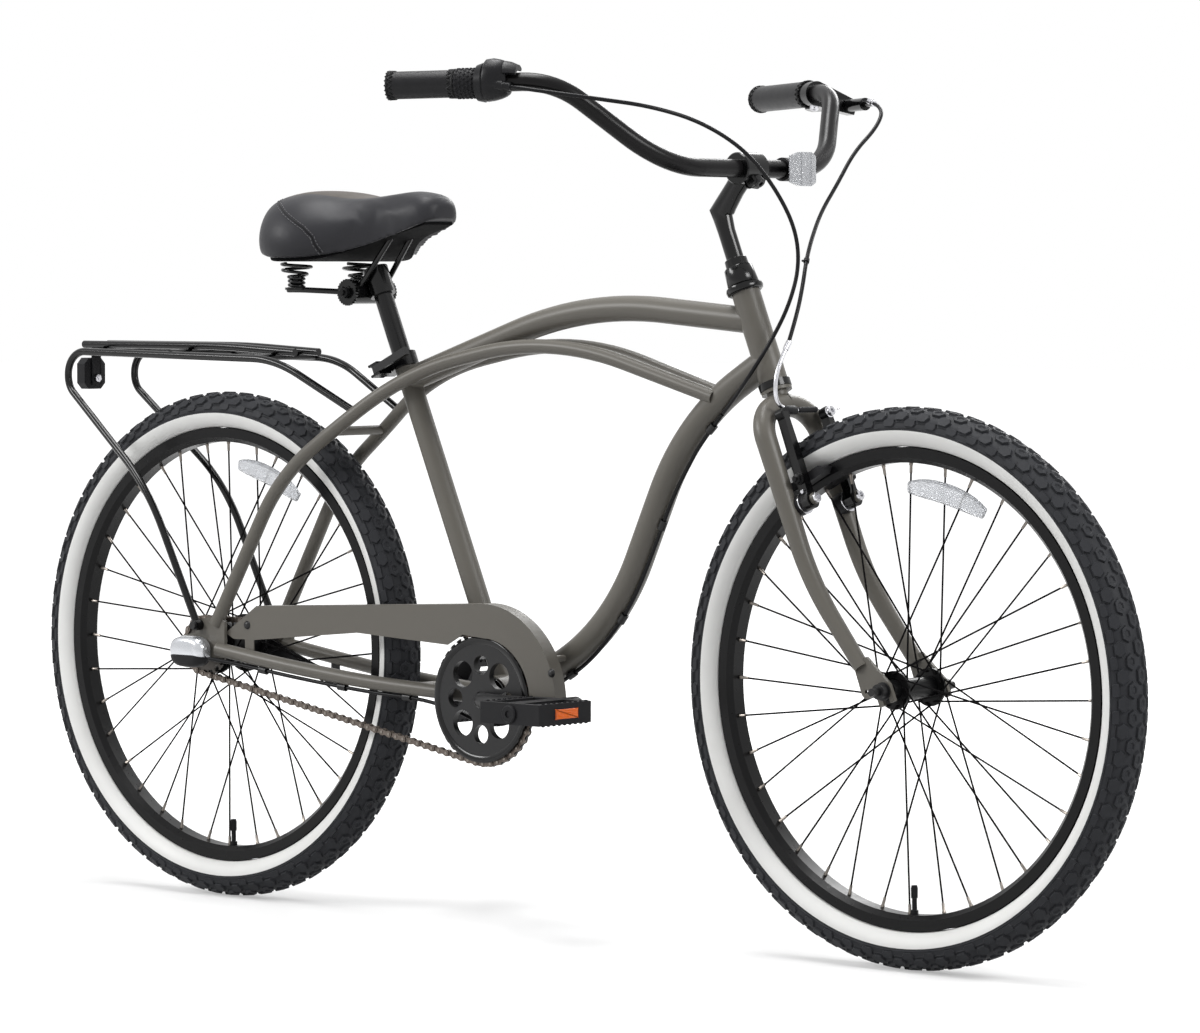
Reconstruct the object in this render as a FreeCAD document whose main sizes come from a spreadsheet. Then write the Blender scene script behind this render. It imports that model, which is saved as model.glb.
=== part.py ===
import FreeCAD, Part
import math
import os
from types import SimpleNamespace

import Sketcher
from FreeCAD import Placement, Rotation, Vector

# Beach cruiser bicycle. X runs forward, Y to the rider's left and Z up.
# The origin lies on the ground, midway between the two axles.

# Driving sizes in millimetres, degrees and counts
SIZES = {
    # Stance
    "wheelbase": 1140.5,
    "head_lean": 22.3,
    "fork_clearance": 78.2,
    "fork_rake": 60.1,
    "seat_lean": 23.35,
    "bracket_drop": 44.5,
    # Clearances
    "running_gap": 0.05,
    "fit_gap": 0.05,
    "side_gap": 0.3,
    "cut_overrun": 2.0,
    # Tyres and rims
    "tyre_width": 54.0,
    "tyre_core_rise": 21.0,
    "tyre_wall": 3.5,
    "tyre_shoulder": 1.5,
    "tyre_lift": 0.5,
    "bead_depth": 6.5,
    "rim_radius": 285.5,
    "rim_width": 32.0,
    "rim_wall": 2.2,
    "rim_depth": 18.5,
    "rim_side_depth": 12.5,
    "rim_bed_width": 19.0,
    # Spokes
    "spoke_count": 36,
    "spoke_crosses": 3,
    "spoke_radius": 1.0,
    "spoke_rim_offset": 3.0,
    "spoke_lift": 0.9,
    "spoke_seat_gap": 0.4,
    # Front hub and axle
    "front_axle_radius": 4.75,
    "front_hub_width": 92.0,
    "front_hub_radius": 13.0,
    "front_hub_bore": 9.0,
    "front_flange_radius": 23.0,
    "front_flange_spacing": 68.0,
    "flange_thickness": 3.0,
    "flange_rim": 4.0,
    "bearing_width": 8.0,
    "cone_radius": 8.0,
    "front_dropout_gap": 100.0,
    # Rear hub and axle
    "rear_axle_radius": 5.0,
    "rear_hub_left": 50.0,
    "rear_hub_right": 38.0,
    "rear_hub_radius": 30.0,
    "rear_hub_bore": 16.0,
    "rear_flange_radius": 38.0,
    "rear_flange_spacing": 56.0,
    "rear_dropout_gap": 120.0,
    # Axle nuts
    "axle_overhang": 12.0,
    "nut_radius": 9.0,
    "nut_height": 9.0,
    "washer_radius": 11.0,
    "washer_height": 1.6,
    # Head tube and headset
    "head_tube_length": 116.0,
    "head_tube_radius": 17.5,
    "head_tube_wall": 2.2,
    "cup_height": 9.0,
    "cup_radius": 20.0,
    "cup_insert": 10.0,
    "race_radius": 19.0,
    "race_height": 4.0,
    "locknut_height": 36.0,
    "locknut_radius": 17.5,
    "locknut_foot_radius": 20.0,
    "locknut_foot_height": 9.0,
    # Frame tubes
    "top_tube_radius": 15.9,
    "down_tube_radius": 18.0,
    "tube_wall": 1.6,
    "top_tube_rise": 59.4,
    "top_tube_drop": 34.0,
    "down_tube_upper_bow": 36.4,
    "down_tube_lower_bow": 61.2,
    "seat_tube_radius": 14.0,
    "seat_tube_wall": 1.8,
    "seat_tube_length": 467.0,
    "side_tube_radius": 9.0,
    "side_tube_wall": 1.4,
    "side_tube_tuck": 47.2,
    "side_tube_rise": 382.0,
    "side_tube_foot_forward": 36.0,
    "side_tube_foot_rise": 30.0,
    "chainstay_radius": 9.0,
    "chainstay_foot_forward": 40.0,
    "chainstay_foot_drop": 2.0,
    "bridge_radius": 6.0,
    "bridge_clearance": 26.9,
    "guard_strut_radius": 4.0,
    # Bottom bracket
    "bracket_shell_radius": 29.0,
    "bracket_shell_wall": 3.5,
    "bracket_shell_width": 68.0,
    "bracket_cup_flange": 27.5,
    "bracket_cup_height": 4.0,
    "bracket_cup_insert": 11.0,
    # Rear dropouts
    "dropout_thickness": 5.0,
    "dropout_slot_gap": 0.15,
    "dropout_tail": 26.0,
    "dropout_jaw": 13.0,
    "dropout_nose": 54.0,
    "dropout_rise": 42.0,
    "eyelet_forward": 9.0,
    "eyelet_rise": 28.5,
    "eyelet_hole_radius": 2.6,
    "eyelet_land": 8.0,
    # Fork
    "steerer_radius": 12.7,
    "steerer_wall": 1.5,
    "blade_top_radius": 14.0,
    "blade_end_radius": 9.5,
    "blade_wall": 1.8,
    "blade_side": 52.5,
    "blade_forward": 4.0,
    "crown_drop": 30.0,
    "shoulder_drop": 38.0,
    "rake_start_drop": 255.0,
    "blade_end_rise": 36.7,
    "blade_end_forward": 39.0,
    "fork_end_thickness": 5.0,
    "fork_end_tail": 16.0,
    "fork_end_lip": 12.0,
    "fork_eyelet_back": 23.7,
    "fork_eyelet_rise": 7.8,
    # Brake
    "pad_track_inset": 6.0,
    "pad_pivot_drop": 28.0,
    "boss_side": 41.0,
    "boss_base_radius": 8.0,
    "boss_base_length": 19.0,
    "stud_radius": 5.0,
    "stud_head_radius": 7.0,
    "stud_head_height": 5.0,
    "arm_thickness": 12.0,
    "arm_length": 112.0,
    "arm_eye_radius": 11.0,
    "arm_half_width": 6.0,
    "arm_tip_half_width": 4.5,
    "pad_gap": 1.9,
    "pad_length": 62.0,
    "pad_height": 11.0,
    "pad_nose": 8.0,
    "noodle_radius": 2.6,
    "boot_radius": 3.6,
    "boot_clearance": 7.0,
    # Stem and handlebar
    "quill_depth": 70.0,
    "stem_neck_radius": 12.5,
    "stem_corner_rise": 106.0,
    "stem_clamp_rise": 138.0,
    "stem_reach": 58.0,
    "stem_clamp_radius": 19.5,
    "stem_clamp_width": 40.0,
    "bar_radius": 11.1,
    "bar_wall": 1.8,
    "bar_width": 688.0,
    "bar_rise": 100.4,
    "bar_sweep": 263.0,
    # Grips, shifter and brake lever
    "grip_radius": 16.5,
    "grip_flange_radius": 18.5,
    "grip_flange_width": 5.0,
    "grip_cap": 3.5,
    "left_grip_length": 140.0,
    "right_grip_length": 82.0,
    "twist_length": 25.0,
    "twist_radius": 17.8,
    "shifter_width": 40.0,
    "shifter_radius": 20.0,
    "shifter_crest": 31.0,
    "shifter_crest_width": 26.0,
    "bracket_width": 20.0,
    "bracket_radius": 15.5,
    "bracket_reach": 58.0,
    "bracket_half_height": 9.0,
    "lever_pin_radius": 2.5,
    "lever_pin_inset": 10.0,
    "lever_tilt": 18.0,
    "lever_slot": 8.4,
    "lever_thickness": 7.6,
    "lever_length": 90.0,
    "lever_width": 12.0,
    "lever_tip_reach": 42.0,
    "housing_radius": 8.0,
    "housing_length": 44.0,
    "barrel_radius": 4.0,
    "barrel_length": 22.0,
    # Front reflector
    "reflector_side": 72.0,
    "reflector_width": 50.0,
    "reflector_height": 41.0,
    "reflector_thickness": 10.0,
    "reflector_reach": 34.0,
    "reflector_band": 12.0,
    "reflector_ring_wall": 3.0,
    # Cables
    "cable_radius": 2.5,
    "guide_gap": 0.9,
    "guide_wall": 1.6,
    "guide_length": 12.0,
    "down_guide_stand": 1.8,
    "stay_guide_stand": 1.1,
    # Chain and sprockets
    "chain_pitch": 12.7,
    "chain_links": 108,
    "chainring_teeth": 40,
    "sprocket_teeth": 18,
    "chain_line": 46.0,
    "chain_width": 8.6,
    "chain_height": 8.6,
    "chain_plate": 2.4,
    "chain_web": 0.4,
    "roller_radius": 3.9,
    "tooth_height": 3.5,
    "ring_thickness": 3.0,
    "ring_inner_radius": 62.0,
    "disc_radius": 76.0,
    "disc_thickness": 2.0,
    "disc_gap": 3.3,
    "disc_holes": 8,
    "disc_hole_circle": 43.6,
    "disc_large_hole": 16.5,
    "disc_small_hole": 12.0,
    "disc_rim": 8.0,
    # Crank and pedals
    "crank_length": 170.0,
    "crank_radius": 10.5,
    "crank_elbow": 60.0,
    "crank_knee": 42.0,
    "crank_side": 75.0,
    "crank_eye_radius": 14.0,
    "crank_eye_width": 21.6,
    "pedal_axle_radius": 6.0,
    "pedal_width": 95.0,
    "pedal_length": 96.0,
    "pedal_height": 26.0,
    "pedal_rail": 12.0,
    "pedal_core_radius": 12.0,
    "pedal_end": 10.0,
    "pedal_grip": 5.0,
    "left_pedal_tilt": 62.0,
    # Chain guard
    "guard_side": 57.5,
    "guard_thickness": 1.5,
    "guard_depth": 19.0,
    "guard_outer_radius": 121.0,
    "guard_inner_radius": 78.0,
    "guard_lead": 10.0,
    "guard_tail_forward": 50.0,
    "guard_tail_rise": 19.5,
    "guard_tail_top_forward": 107.0,
    "guard_tail_top_rise": 57.0,
    "guard_tail_foot_forward": 65.0,
    "guard_tail_foot_rise": 12.5,
    "guard_belly_drop": 6.0,
    "guard_notch_drop": 14.0,
    "guard_tab_forward": 86.0,
    "guard_tab_width": 16.0,
    "guard_tab_drop": 9.6,
    # Seat clamp
    "collar_height": 18.0,
    "collar_wall": 4.0,
    "collar_ear_reach": 34.0,
    "collar_ear_width": 24.0,
    "collar_ear_height": 14.0,
    "clevis_side": 25.0,
    "clevis_length": 16.0,
    "clevis_width": 22.0,
    "clevis_height": 17.0,
    "clevis_slot": 10.6,
    "clevis_pin_radius": 2.5,
    "quick_lever_width": 10.0,
    "quick_lever_eye": 6.0,
    "quick_lever_length": 64.0,
    "quick_lever_thickness": 7.0,
    # Seatpost and saddle
    "seatpost_insert": 120.0,
    "seatpost_reach": 120.0,
    "seatpost_wall": 1.8,
    "saddle_clamp_radius": 16.5,
    "saddle_clamp_height": 37.0,
    "saddle_pivot_back": 25.0,
    "saddle_pivot_drop": 22.0,
    "saddle_pivot_radius": 15.0,
    "saddle_pivot_width": 66.0,
    "saddle_bolt_radius": 9.0,
    "saddle_bolt_head": 6.0,
    "rail_radius": 3.6,
    "saddle_length": 252.0,
    "saddle_width": 234.0,
    "saddle_height": 87.0,
    "saddle_nose_forward": 127.0,
    "saddle_rise": 124.0,
    "saddle_base_thickness": 4.0,
    "spring_side": 57.0,
    "spring_wire_radius": 2.2,
    "spring_top_radius": 19.0,
    "spring_foot_radius": 12.0,
    "spring_quarter_turns": 10,
    "spring_height": 32.0,
    "spring_seat_gap": 0.9,
    "spring_plate_radius": 15.0,
    "spring_plate_height": 3.0,
    "spring_gap_limit": 0.4,
    # Rack
    "rack_tube_radius": 5.0,
    "rack_bar_radius": 4.0,
    "rack_half_width": 61.0,
    "rack_front_half_width": 58.0,
    "rack_clearance": 51.0,
    "rack_front_sag": 7.0,
    "rack_front_back": 128.0,
    "rack_tail_back": 245.5,
    "rack_hook_drop": 47.0,
    "rack_strut_back": 82.0,
    "rack_strut_rise": 206.0,
    "rack_strut_side": 72.0,
    "rack_eye_radius": 7.0,
    "deck_half_width": 22.0,
    "deck_lift": 8.5,
    "deck_tail": 10.0,
    "deck_run": 255.0,
    "tail_reflector_width": 38.0,
    "tail_reflector_height": 42.0,
    "tail_reflector_depth": 16.0,
    "tail_reflector_back": 12.0,
    "tail_reflector_drop": 10.0,
    "tail_hanger_width": 16.0,
    "tail_hanger_thickness": 3.0,
    # Bolts
    "bolt_radius": 2.5,
    "bolt_head_radius": 5.0,
    "bolt_head_height": 4.5,
    # Shift joint and coaster arm
    "shift_box_length": 66.0,
    "shift_box_height": 42.0,
    "shift_box_cap": 3.0,
    "shift_box_forward": 3.0,
    "shift_box_drop": 6.0,
    "shift_box_corner": 12.0,
    "coaster_side": 50.5,
    "coaster_thickness": 2.5,
    "coaster_eye_radius": 13.0,
    "coaster_reach": 140.0,
    "coaster_drop": 44.0,
    "coaster_half_width": 7.0,
    "strap_width": 14.0,
}

# Where corners lie, as shares of the sizes that they follow
TOP_TUBE_HEAD_SHARE = 0.684
TOP_TUBE_APEX_SHARE = 0.4685
TOP_TUBE_BEND_SHARES = (0.465,)
DOWN_TUBE_HEAD_SHARE = 0.231
DOWN_TUBE_CORNER_SHARES = (0.234, 0.689)
DOWN_TUBE_BEND_SHARES = (0.67, 0.51)
SIDE_TUBE_JOIN_SHARE = 0.59
SIDE_TUBE_CORNER_SHARES = ((0.2471, 0.93), (0.4311, 0.78), (0.6695, 0.405))
SIDE_TUBE_CREST_SHARES = (0.2664, 0.36)
SIDE_TUBE_FIRST_SHARE = 0.7906
SIDE_TUBE_SHOULDER_SHARE = 0.872
SIDE_TUBE_END_SHARE = 0.2
SIDE_TUBE_BEND_SHARES = (0.6, 0.3, 0.65, 0.48)
CHAINSTAY_CORNER_SHARES = (
    (0.02, 0.35, 0.0),
    (0.22, 0.53, 0.11),
    (0.459, 0.70, 0.27),
    (0.75, 0.93, 0.635),
)
CHAINSTAY_BEND_SHARES = (0.45, 0.45, 0.45)
FORK_BEND_SHARES = (0.68, 0.42)
STEM_BEND_SHARES = (0.45,)
BAR_CORNER_SHARES = ((0.0, 0.432, 0.0), (0.295, 0.755, 1.0), (1.0, 1.0, 0.965))
BAR_BEND_SHARES = (0.36, 0.24)
SADDLE_RAIL_BACK_SHARES = (0.9, 0.79)
SADDLE_RAIL_PIVOT_SHARE = 0.4
SADDLE_RAIL_SHARES = ((0.496, 0.188, -0.33), (0.31, 0.154, 0.34))
SADDLE_RAIL_BEND_SHARES = (0.4, 0.4, 0.4)
SADDLE_STATION_SHARES = (
    (0.0, 0.17, 0.575, 0.724),
    (0.06, 0.256, 0.53, 0.816),
    (0.147, 0.29, 0.46, 0.885),
    (0.286, 0.35, 0.345, 0.908),
    (0.425, 0.54, 0.184, 0.85),
    (0.563, 0.83, 0.046, 0.85),
    (0.702, 1.0, 0.0, 0.954),
    (0.841, 0.97, 0.0, 1.0),
    (0.94, 0.79, 0.09, 0.92),
    (1.0, 0.51, 0.32, 0.724),
)
SADDLE_SPRING_SHARES = SADDLE_STATION_SHARES[7]
SADDLE_FOOT_SHARE = 0.93
SADDLE_WAIST_SHARE = 0.42
SADDLE_SHOULDER_SHARES = (0.86, 0.76)
SADDLE_CROWN_SHARES = (0.5, 0.94)
RACK_FOOT_SHARE = 0.32
RACK_BEND_SHARES = (0.28, 0.66, 0.3, 0.3)
DECK_BEND_SHARES = (0.3,)
CROSS_BAR_SHARES = (0.08, 0.5, 0.9)
GUARD_STRUT_SHARE = 0.62
GUARD_NOTCH_SHARES = (0.33, 0.66)
GUARD_BELLY_SHARE = 0.42
CRANK_BEND_SHARES = (0.45, 0.45, 0.45, 0.45)

# Cable routes, chosen by hand at the drawn wheelbase
DRAWN_WHEELBASE = 1140.5
BRAKE_CABLE_ROUTE = (
    (278.3, 291.6, 1034.6),
    (304.0, 280.0, 1028.0),
    (317.0, 250.0, 1003.0),
    (312.0, 211.0, 972.0),
    (318.0, 170.0, 931.0),
    (334.0, 120.0, 898.0),
    (360.0, 70.0, 866.0),
    (382.0, 32.0, 838.0),
    (398.0, 6.0, 808.0),
    (405.0, -14.0, 772.0),
    (404.0, -29.0, 738.0),
)
NOODLE_ROUTE = (
    (404.0, -29.0, 738.0),
    (402.0, -47.0, 712.0),
    (402.0, -52.0, 676.0),
    (403.3, -38.0, 659.4),
    (403.3, -10.0, 659.4),
)
SHIFT_LOOP_ROUTE = (
    (194.0, -296.0, 1043.0),
    (232.0, -280.0, 1037.0),
    (291.0, -240.0, 1027.0),
    (330.0, -195.0, 1019.0),
    (357.0, -135.0, 1002.0),
    (376.0, -75.0, 969.0),
    (385.0, -30.0, 924.0),
    (388.0, 4.0, 877.0),
    (388.0, 12.0, 832.0),
    (386.0, -4.0, 786.0),
    (376.0, -25.0, 743.0),
    (345.0, -30.0, 700.0),
    (312.0, -18.0, 672.0),
    (285.6, -8.0, 653.4),
)
SHIFT_FRAME_ROUTE = (
    (283.0, -7.0, 651.6),
    (250.0, -7.0, 617.0),
    (230.0, -7.0, 588.6),
    (204.0, -7.0, 548.0),
    (173.0, -7.0, 481.0),
    (141.7, -7.0, 420.6),
    (105.5, -7.0, 375.5),
    (62.0, -7.0, 336.0),
    (19.9, -8.0, 312.5),
    (-30.0, -12.0, 275.0),
    (-62.0, -18.0, 255.0),
    (-100.0, -24.0, 256.0),
    (-140.0, -29.0, 272.0),
    (-190.0, -34.5, 282.0),
    (-237.0, -39.2, 285.0),
    (-285.0, -43.7, 288.4),
    (-352.0, -50.9, 295.5),
    (-420.0, -58.0, 303.8),
    (-476.0, -63.0, 312.0),
    (-512.0, -72.0, 317.0),
    (-532.8, -78.0, 320.0),
)
DOWN_GUIDE_SHARES = ((0.19, 0.312), (0.436, 0.309), (0.645, 0.324), (0.813, 0.331))
STAY_GUIDE_SHARES = ((0.292, -0.009), (0.524, -0.015), (0.813, 0.108))
GUIDE_STEP_COUNT = 1000
CORD_REACH_SHARE = 0.45

UP = Vector(0, 0, 1)
FORWARD = Vector(1, 0, 0)
LEFT = Vector(0, 1, 0)
RIGHT = Vector(0, -1, 0)
QUARTER_TURN = math.degrees(math.pi / 2)
FULL_TURN = math.degrees(2 * math.pi)
CUBIC_CENTIMETRE = 1000.0
CHAIN_PASS_COUNT = 12
COIL_STEP_SHARE = 1e-4

# How a sketch numbers the points of its lines, arcs and circles
START_POINT, END_POINT, CENTRE_POINT = range(1, 4)

doc = FreeCAD.newDocument("BeachCruiser")
sheet = doc.addObject("Spreadsheet::Sheet", "Sizes")
for row, (size_name, size_value) in enumerate(SIZES.items(), start=1):
    sheet.set(f"A{row}", size_name)
    sheet.set(f"B{row}", str(size_value))
    sheet.setAlias(f"B{row}", size_name)
doc.recompute()


class Dim:
    """A number from the sheet, together with the formula that gives it."""

    def __init__(self, value, text):
        self.value = value
        self.text = text

    def __float__(self):
        return self.value

    def __add__(self, other):
        other = as_dim(other)
        return Dim(self.value + other.value, f"({self.text} + {other.text})")

    def __sub__(self, other):
        other = as_dim(other)
        return Dim(self.value - other.value, f"({self.text} - {other.text})")

    def __rsub__(self, other):
        return as_dim(other) - self

    def __mul__(self, other):
        other = as_dim(other)
        return Dim(self.value * other.value, f"({self.text} * {other.text})")

    def __truediv__(self, other):
        other = as_dim(other)
        return Dim(self.value / other.value, f"({self.text} / {other.text})")

    def __neg__(self):
        return self * -1

    __radd__ = __add__
    __rmul__ = __mul__


def as_dim(number):
    if isinstance(number, Dim):
        return number
    return Dim(float(number), f"({float(number):.9f})")


def root(number):
    return Dim(math.sqrt(number.value), f"sqrt({number.text})")


S = SimpleNamespace(**{name: Dim(float(sheet.get(name)), f"Sizes.{name}") for name in SIZES})
S.tyre_radius = S.rim_radius + S.tyre_core_rise + S.tyre_width / 2
S.fork_length = S.tyre_radius + S.fork_clearance
S.blade_end_drop = S.fork_length - S.blade_end_rise
S.rack_height = S.tyre_radius * 2 + S.rack_clearance
NODES = []


# Shared helpers

def at(x, y, z):
    return Vector(float(x), float(y), float(z))


def along(direction, distance):
    return direction * float(distance)


def turned_about(vector, axis, degrees):
    return Rotation(axis, degrees).multVec(vector)


def bind(item, **values):
    for name, value in values.items():
        item.setExpression(name, value.text)


def node(item, label):
    """Record a finished piece under the name of its node."""
    item.Label = label
    NODES.append(item)
    return item


def cylinder(name, radius, height, base, direction):
    item = doc.addObject("Part::Cylinder", name)
    bind(item, Radius=radius, Height=height)
    item.Placement = Placement(base, Rotation(UP, direction))
    return item


def cut(name, base, *tools):
    """Cut each tool in turn from the base."""
    for number, tool in enumerate(tools):
        item = doc.addObject("Part::Cut", name if number + 1 == len(tools) else f"{name}_cut{number}")
        item.Base = base
        item.Tool = tool
        base = item
    return base


def fuse(name, *items):
    item = doc.addObject("Part::MultiFuse", name)
    item.Shapes = list(items)
    return item


def group(name, *items):
    item = doc.addObject("Part::Compound", name)
    item.Links = list(items)
    return item


def mirrored(name, source):
    """The same piece on the other side of the bicycle."""
    item = doc.addObject("Part::Mirroring", name)
    item.Source = source
    item.Normal = LEFT
    return item


def formed(name, shape):
    """A piece whose shape is worked out here from the sheet's sizes."""
    item = doc.addObject("Part::Feature", name)
    item.Shape = shape
    item.Placement = Placement()
    return item


def new_sketch(body, role):
    plane = next(part for part in body.Origin.OriginFeatures if part.Role == role)
    sketch = body.newObject("Sketcher::SketchObject", body.Name + "_sketch")
    sketch.AttachmentSupport = [(plane, "")]
    sketch.MapMode = "FlatFace"
    return sketch


def constrain(sketch, pairs):
    """Add constraints at once and bind each one that has a formula."""
    first = sketch.ConstraintCount
    sketch.addConstraint([constraint for constraint, value in pairs])
    for number, (constraint, value) in enumerate(pairs, start=first):
        if isinstance(value, Dim):
            sketch.setExpression(f"Constraints[{number}]", value.text)


def draw(sketch, outline):
    """Draw a closed outline of corners (x, y), or (x, y, radius, side) where an arc arrives."""
    first = sketch.GeometryCount
    count = len(outline)
    ends = []
    for corner, following in zip(outline, outline[1:] + outline[:1]):
        start = at(corner[0], corner[1], 0)
        end = at(following[0], following[1], 0)
        if len(following) == 2:
            sketch.addGeometry(Part.LineSegment(start, end))
            ends.append((START_POINT, END_POINT))
            continue
        radius = float(following[2])
        side = following[3]
        chord = end - start
        sagitta = radius - math.sqrt(max(radius ** 2 - (chord.Length / 2) ** 2, 0))
        outward = Vector(chord.y, -chord.x, 0).normalize()
        middle = (start + end) / 2 + outward * (side * sagitta)
        if side > 0:
            sketch.addGeometry(Part.Arc(start, middle, end))
            ends.append((START_POINT, END_POINT))
        else:
            sketch.addGeometry(Part.Arc(end, middle, start))
            ends.append((END_POINT, START_POINT))
    pairs = []
    for index in range(count):
        following = (index + 1) % count
        joint = Sketcher.Constraint(
            "Coincident", first + index, ends[index][1], first + following, ends[following][0])
        pairs.append((joint, None))
    for index, corner in enumerate(outline):
        for kind, value in zip(("DistanceX", "DistanceY"), corner):
            pairs.append((Sketcher.Constraint(kind, first + index, ends[index][0], float(value)), value))
        if len(corner) > 2:
            before = first + (index - 1) % count
            pairs.append((Sketcher.Constraint("Radius", before, float(corner[2])), corner[2]))
    constrain(sketch, pairs)


def draw_holes(sketch, holes):
    """Draw round holes (x, y, radius) in a sketch."""
    for x, y, radius in holes:
        number = sketch.addGeometry(Part.Circle(at(x, y, 0), UP, float(radius)))
        pairs = [
            (Sketcher.Constraint("DistanceX", number, CENTRE_POINT, float(x)), x),
            (Sketcher.Constraint("DistanceY", number, CENTRE_POINT, float(y)), y),
            (Sketcher.Constraint("Radius", number, float(radius)), radius),
        ]
        constrain(sketch, pairs)


def turned(name, outline, base, direction):
    """A turned piece: an outline of (radius, height) corners spun about its own axis."""
    body = doc.addObject("PartDesign::Body", name)
    sketch = new_sketch(body, "XZ_Plane")
    draw(sketch, outline)
    spin = body.newObject("PartDesign::Revolution", name + "_spin")
    spin.Profile = sketch
    spin.ReferenceAxis = (sketch, ["V_Axis"])
    spin.Angle = FULL_TURN
    body.Tip = spin
    body.Placement = Placement(base, Rotation(UP, direction))
    return body


def plate(name, outline, thickness, base, x_axis, normal, holes=()):
    """A flat piece: an outline padded by its thickness along the normal."""
    body = doc.addObject("PartDesign::Body", name)
    sketch = new_sketch(body, "XY_Plane")
    draw(sketch, outline)
    draw_holes(sketch, holes)
    pad = body.newObject("PartDesign::Pad", name + "_pad")
    pad.Profile = sketch
    bind(pad, Length=thickness)
    body.Tip = pad
    body.Placement = Placement(base, Rotation(x_axis, normal.cross(x_axis), normal, "ZXY"))
    return body


def rounded(points, reach_shares):
    """A wire of straight runs whose corners are rounded over a share of the shorter run beside them."""
    edges = []
    last = points[0]
    for before, corner, after, share in zip(points, points[1:], points[2:], reach_shares):
        back = before - corner
        ahead = after - corner
        reach = share * min(back.Length, ahead.Length)
        turn = math.pi - back.getAngle(ahead)
        radius = reach / math.tan(turn / 2)
        back.normalize()
        ahead.normalize()
        inward = (back + ahead).normalize()
        start = corner + back * reach
        end = corner + ahead * reach
        middle = corner + inward * (radius / math.cos(turn / 2) - radius)
        edges.append(Part.LineSegment(last, start).toShape())
        edges.append(Part.Arc(start, middle, end).toShape())
        last = end
    edges.append(Part.LineSegment(last, points[-1]).toShape())
    return Part.Wire(edges)


def ring_on(name, edge, parameter, radius):
    ring = doc.addObject("Part::Circle", name)
    bind(ring, Radius=radius)
    ring.Placement = Placement(edge.valueAt(parameter), Rotation(UP, edge.tangentAt(parameter)))
    return ring


def swept(name, wire, radius, end_radius=None):
    """A round rod along a wire, tapered where an end radius is given."""
    path = formed(name + "_path", wire)
    first = wire.OrderedEdges[0]
    last = wire.OrderedEdges[-1]
    rings = [ring_on(name + "_ring", first, first.FirstParameter, radius)]
    if end_radius is not None:
        rings.append(ring_on(name + "_end_ring", last, last.LastParameter, end_radius))
    item = doc.addObject("Part::Sweep", name)
    item.Sections = rings
    item.Spine = (path, [f"Edge{number}" for number in range(1, len(wire.Edges) + 1)])
    item.Solid = True
    return item


def tube(name, wire, radius, wall):
    """A hollow tube along a wire. Returns the tube and the rod that fills it."""
    rod = swept(name + "_rod", wire, radius)
    return cut(name + "_hollow", rod, swept(name + "_bore", wire, radius - wall)), rod


def cord(name, route, radius):
    """A cable along its route, with each bend as large as its two runs allow."""
    scale = float(S.wheelbase / DRAWN_WHEELBASE)
    points = [Vector(*point) * scale for point in route]
    wire = rounded(points, [CORD_REACH_SHARE] * (len(points) - 2))
    bends = [edge.Curve.Radius for edge in wire.Edges if isinstance(edge.Curve, Part.Circle)]
    print(f"{name}: length {wire.Length:.1f}, bend radii", " ".join(f"{bend:.0f}" for bend in bends))
    return swept(name, wire, radius), wire


def bolt(name, shank_length, base, direction):
    """A round-headed bolt whose shank runs along the direction from under its head."""
    outline = [
        (as_dim(0), -S.bolt_head_height),
        (S.bolt_head_radius, -S.bolt_head_height),
        (S.bolt_head_radius, as_dim(0)),
        (S.bolt_radius, as_dim(0)),
        (S.bolt_radius, shank_length),
        (as_dim(0), shank_length),
    ]
    return turned(name, outline, base, direction)


def sleeve(name, outer, inner, height, base, direction):
    """A plain round sleeve."""
    zero = as_dim(0)
    outline = [(inner, zero), (outer, zero), (outer, height), (inner, height)]
    return turned(name, outline, base, direction)


# Skeleton of the bicycle

ZERO = as_dim(0)
head_angle = math.radians(float(S.head_lean))
steer_up = Vector(-math.sin(head_angle), 0, math.cos(head_angle))
steer_forward = Vector(math.cos(head_angle), 0, math.sin(head_angle))
front_axle = at(S.wheelbase / 2, 0, S.tyre_radius)
rear_axle = at(-S.wheelbase / 2, 0, S.tyre_radius)
head_low = front_axle + along(steer_up, S.fork_length) - along(steer_forward, S.fork_rake)
head_top = head_low + along(steer_up, S.head_tube_length)


def fork_at(forward, side, drop):
    """A point on the fork, measured from the lower end of the head tube."""
    return head_low + along(steer_forward, forward) + along(LEFT, side) - along(steer_up, drop)


ring_pitch_radius = S.chainring_teeth * S.chain_pitch / (2 * math.pi)
sprocket_pitch_radius = S.sprocket_teeth * S.chain_pitch / (2 * math.pi)
radius_step = float(ring_pitch_radius - sprocket_pitch_radius)


def chain_centres():
    """The distance between the sprockets at which the chain closes on whole links."""
    free_length = float(S.chain_links * S.chain_pitch - (ring_pitch_radius + sprocket_pitch_radius) * math.pi)
    centres = free_length / 2
    for _ in range(CHAIN_PASS_COUNT):
        wrap = 2 * radius_step * math.asin(radius_step / centres)
        centres = math.hypot((free_length - wrap) / 2, radius_step)
    return centres


centre_distance = chain_centres()
bracket_forward = math.sqrt(centre_distance ** 2 - float(S.bracket_drop) ** 2)
bracket = rear_axle + at(bracket_forward, 0, -S.bracket_drop)
seat_angle = math.radians(float(S.seat_lean))
seat_up = Vector(-math.sin(seat_angle), 0, math.cos(seat_angle))
seat_top = bracket + along(seat_up, S.seat_tube_length)
half_rear_gap = S.rear_dropout_gap / 2
dropout_side = half_rear_gap + S.dropout_thickness / 2


# Frame: head tube and headset cups

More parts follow.
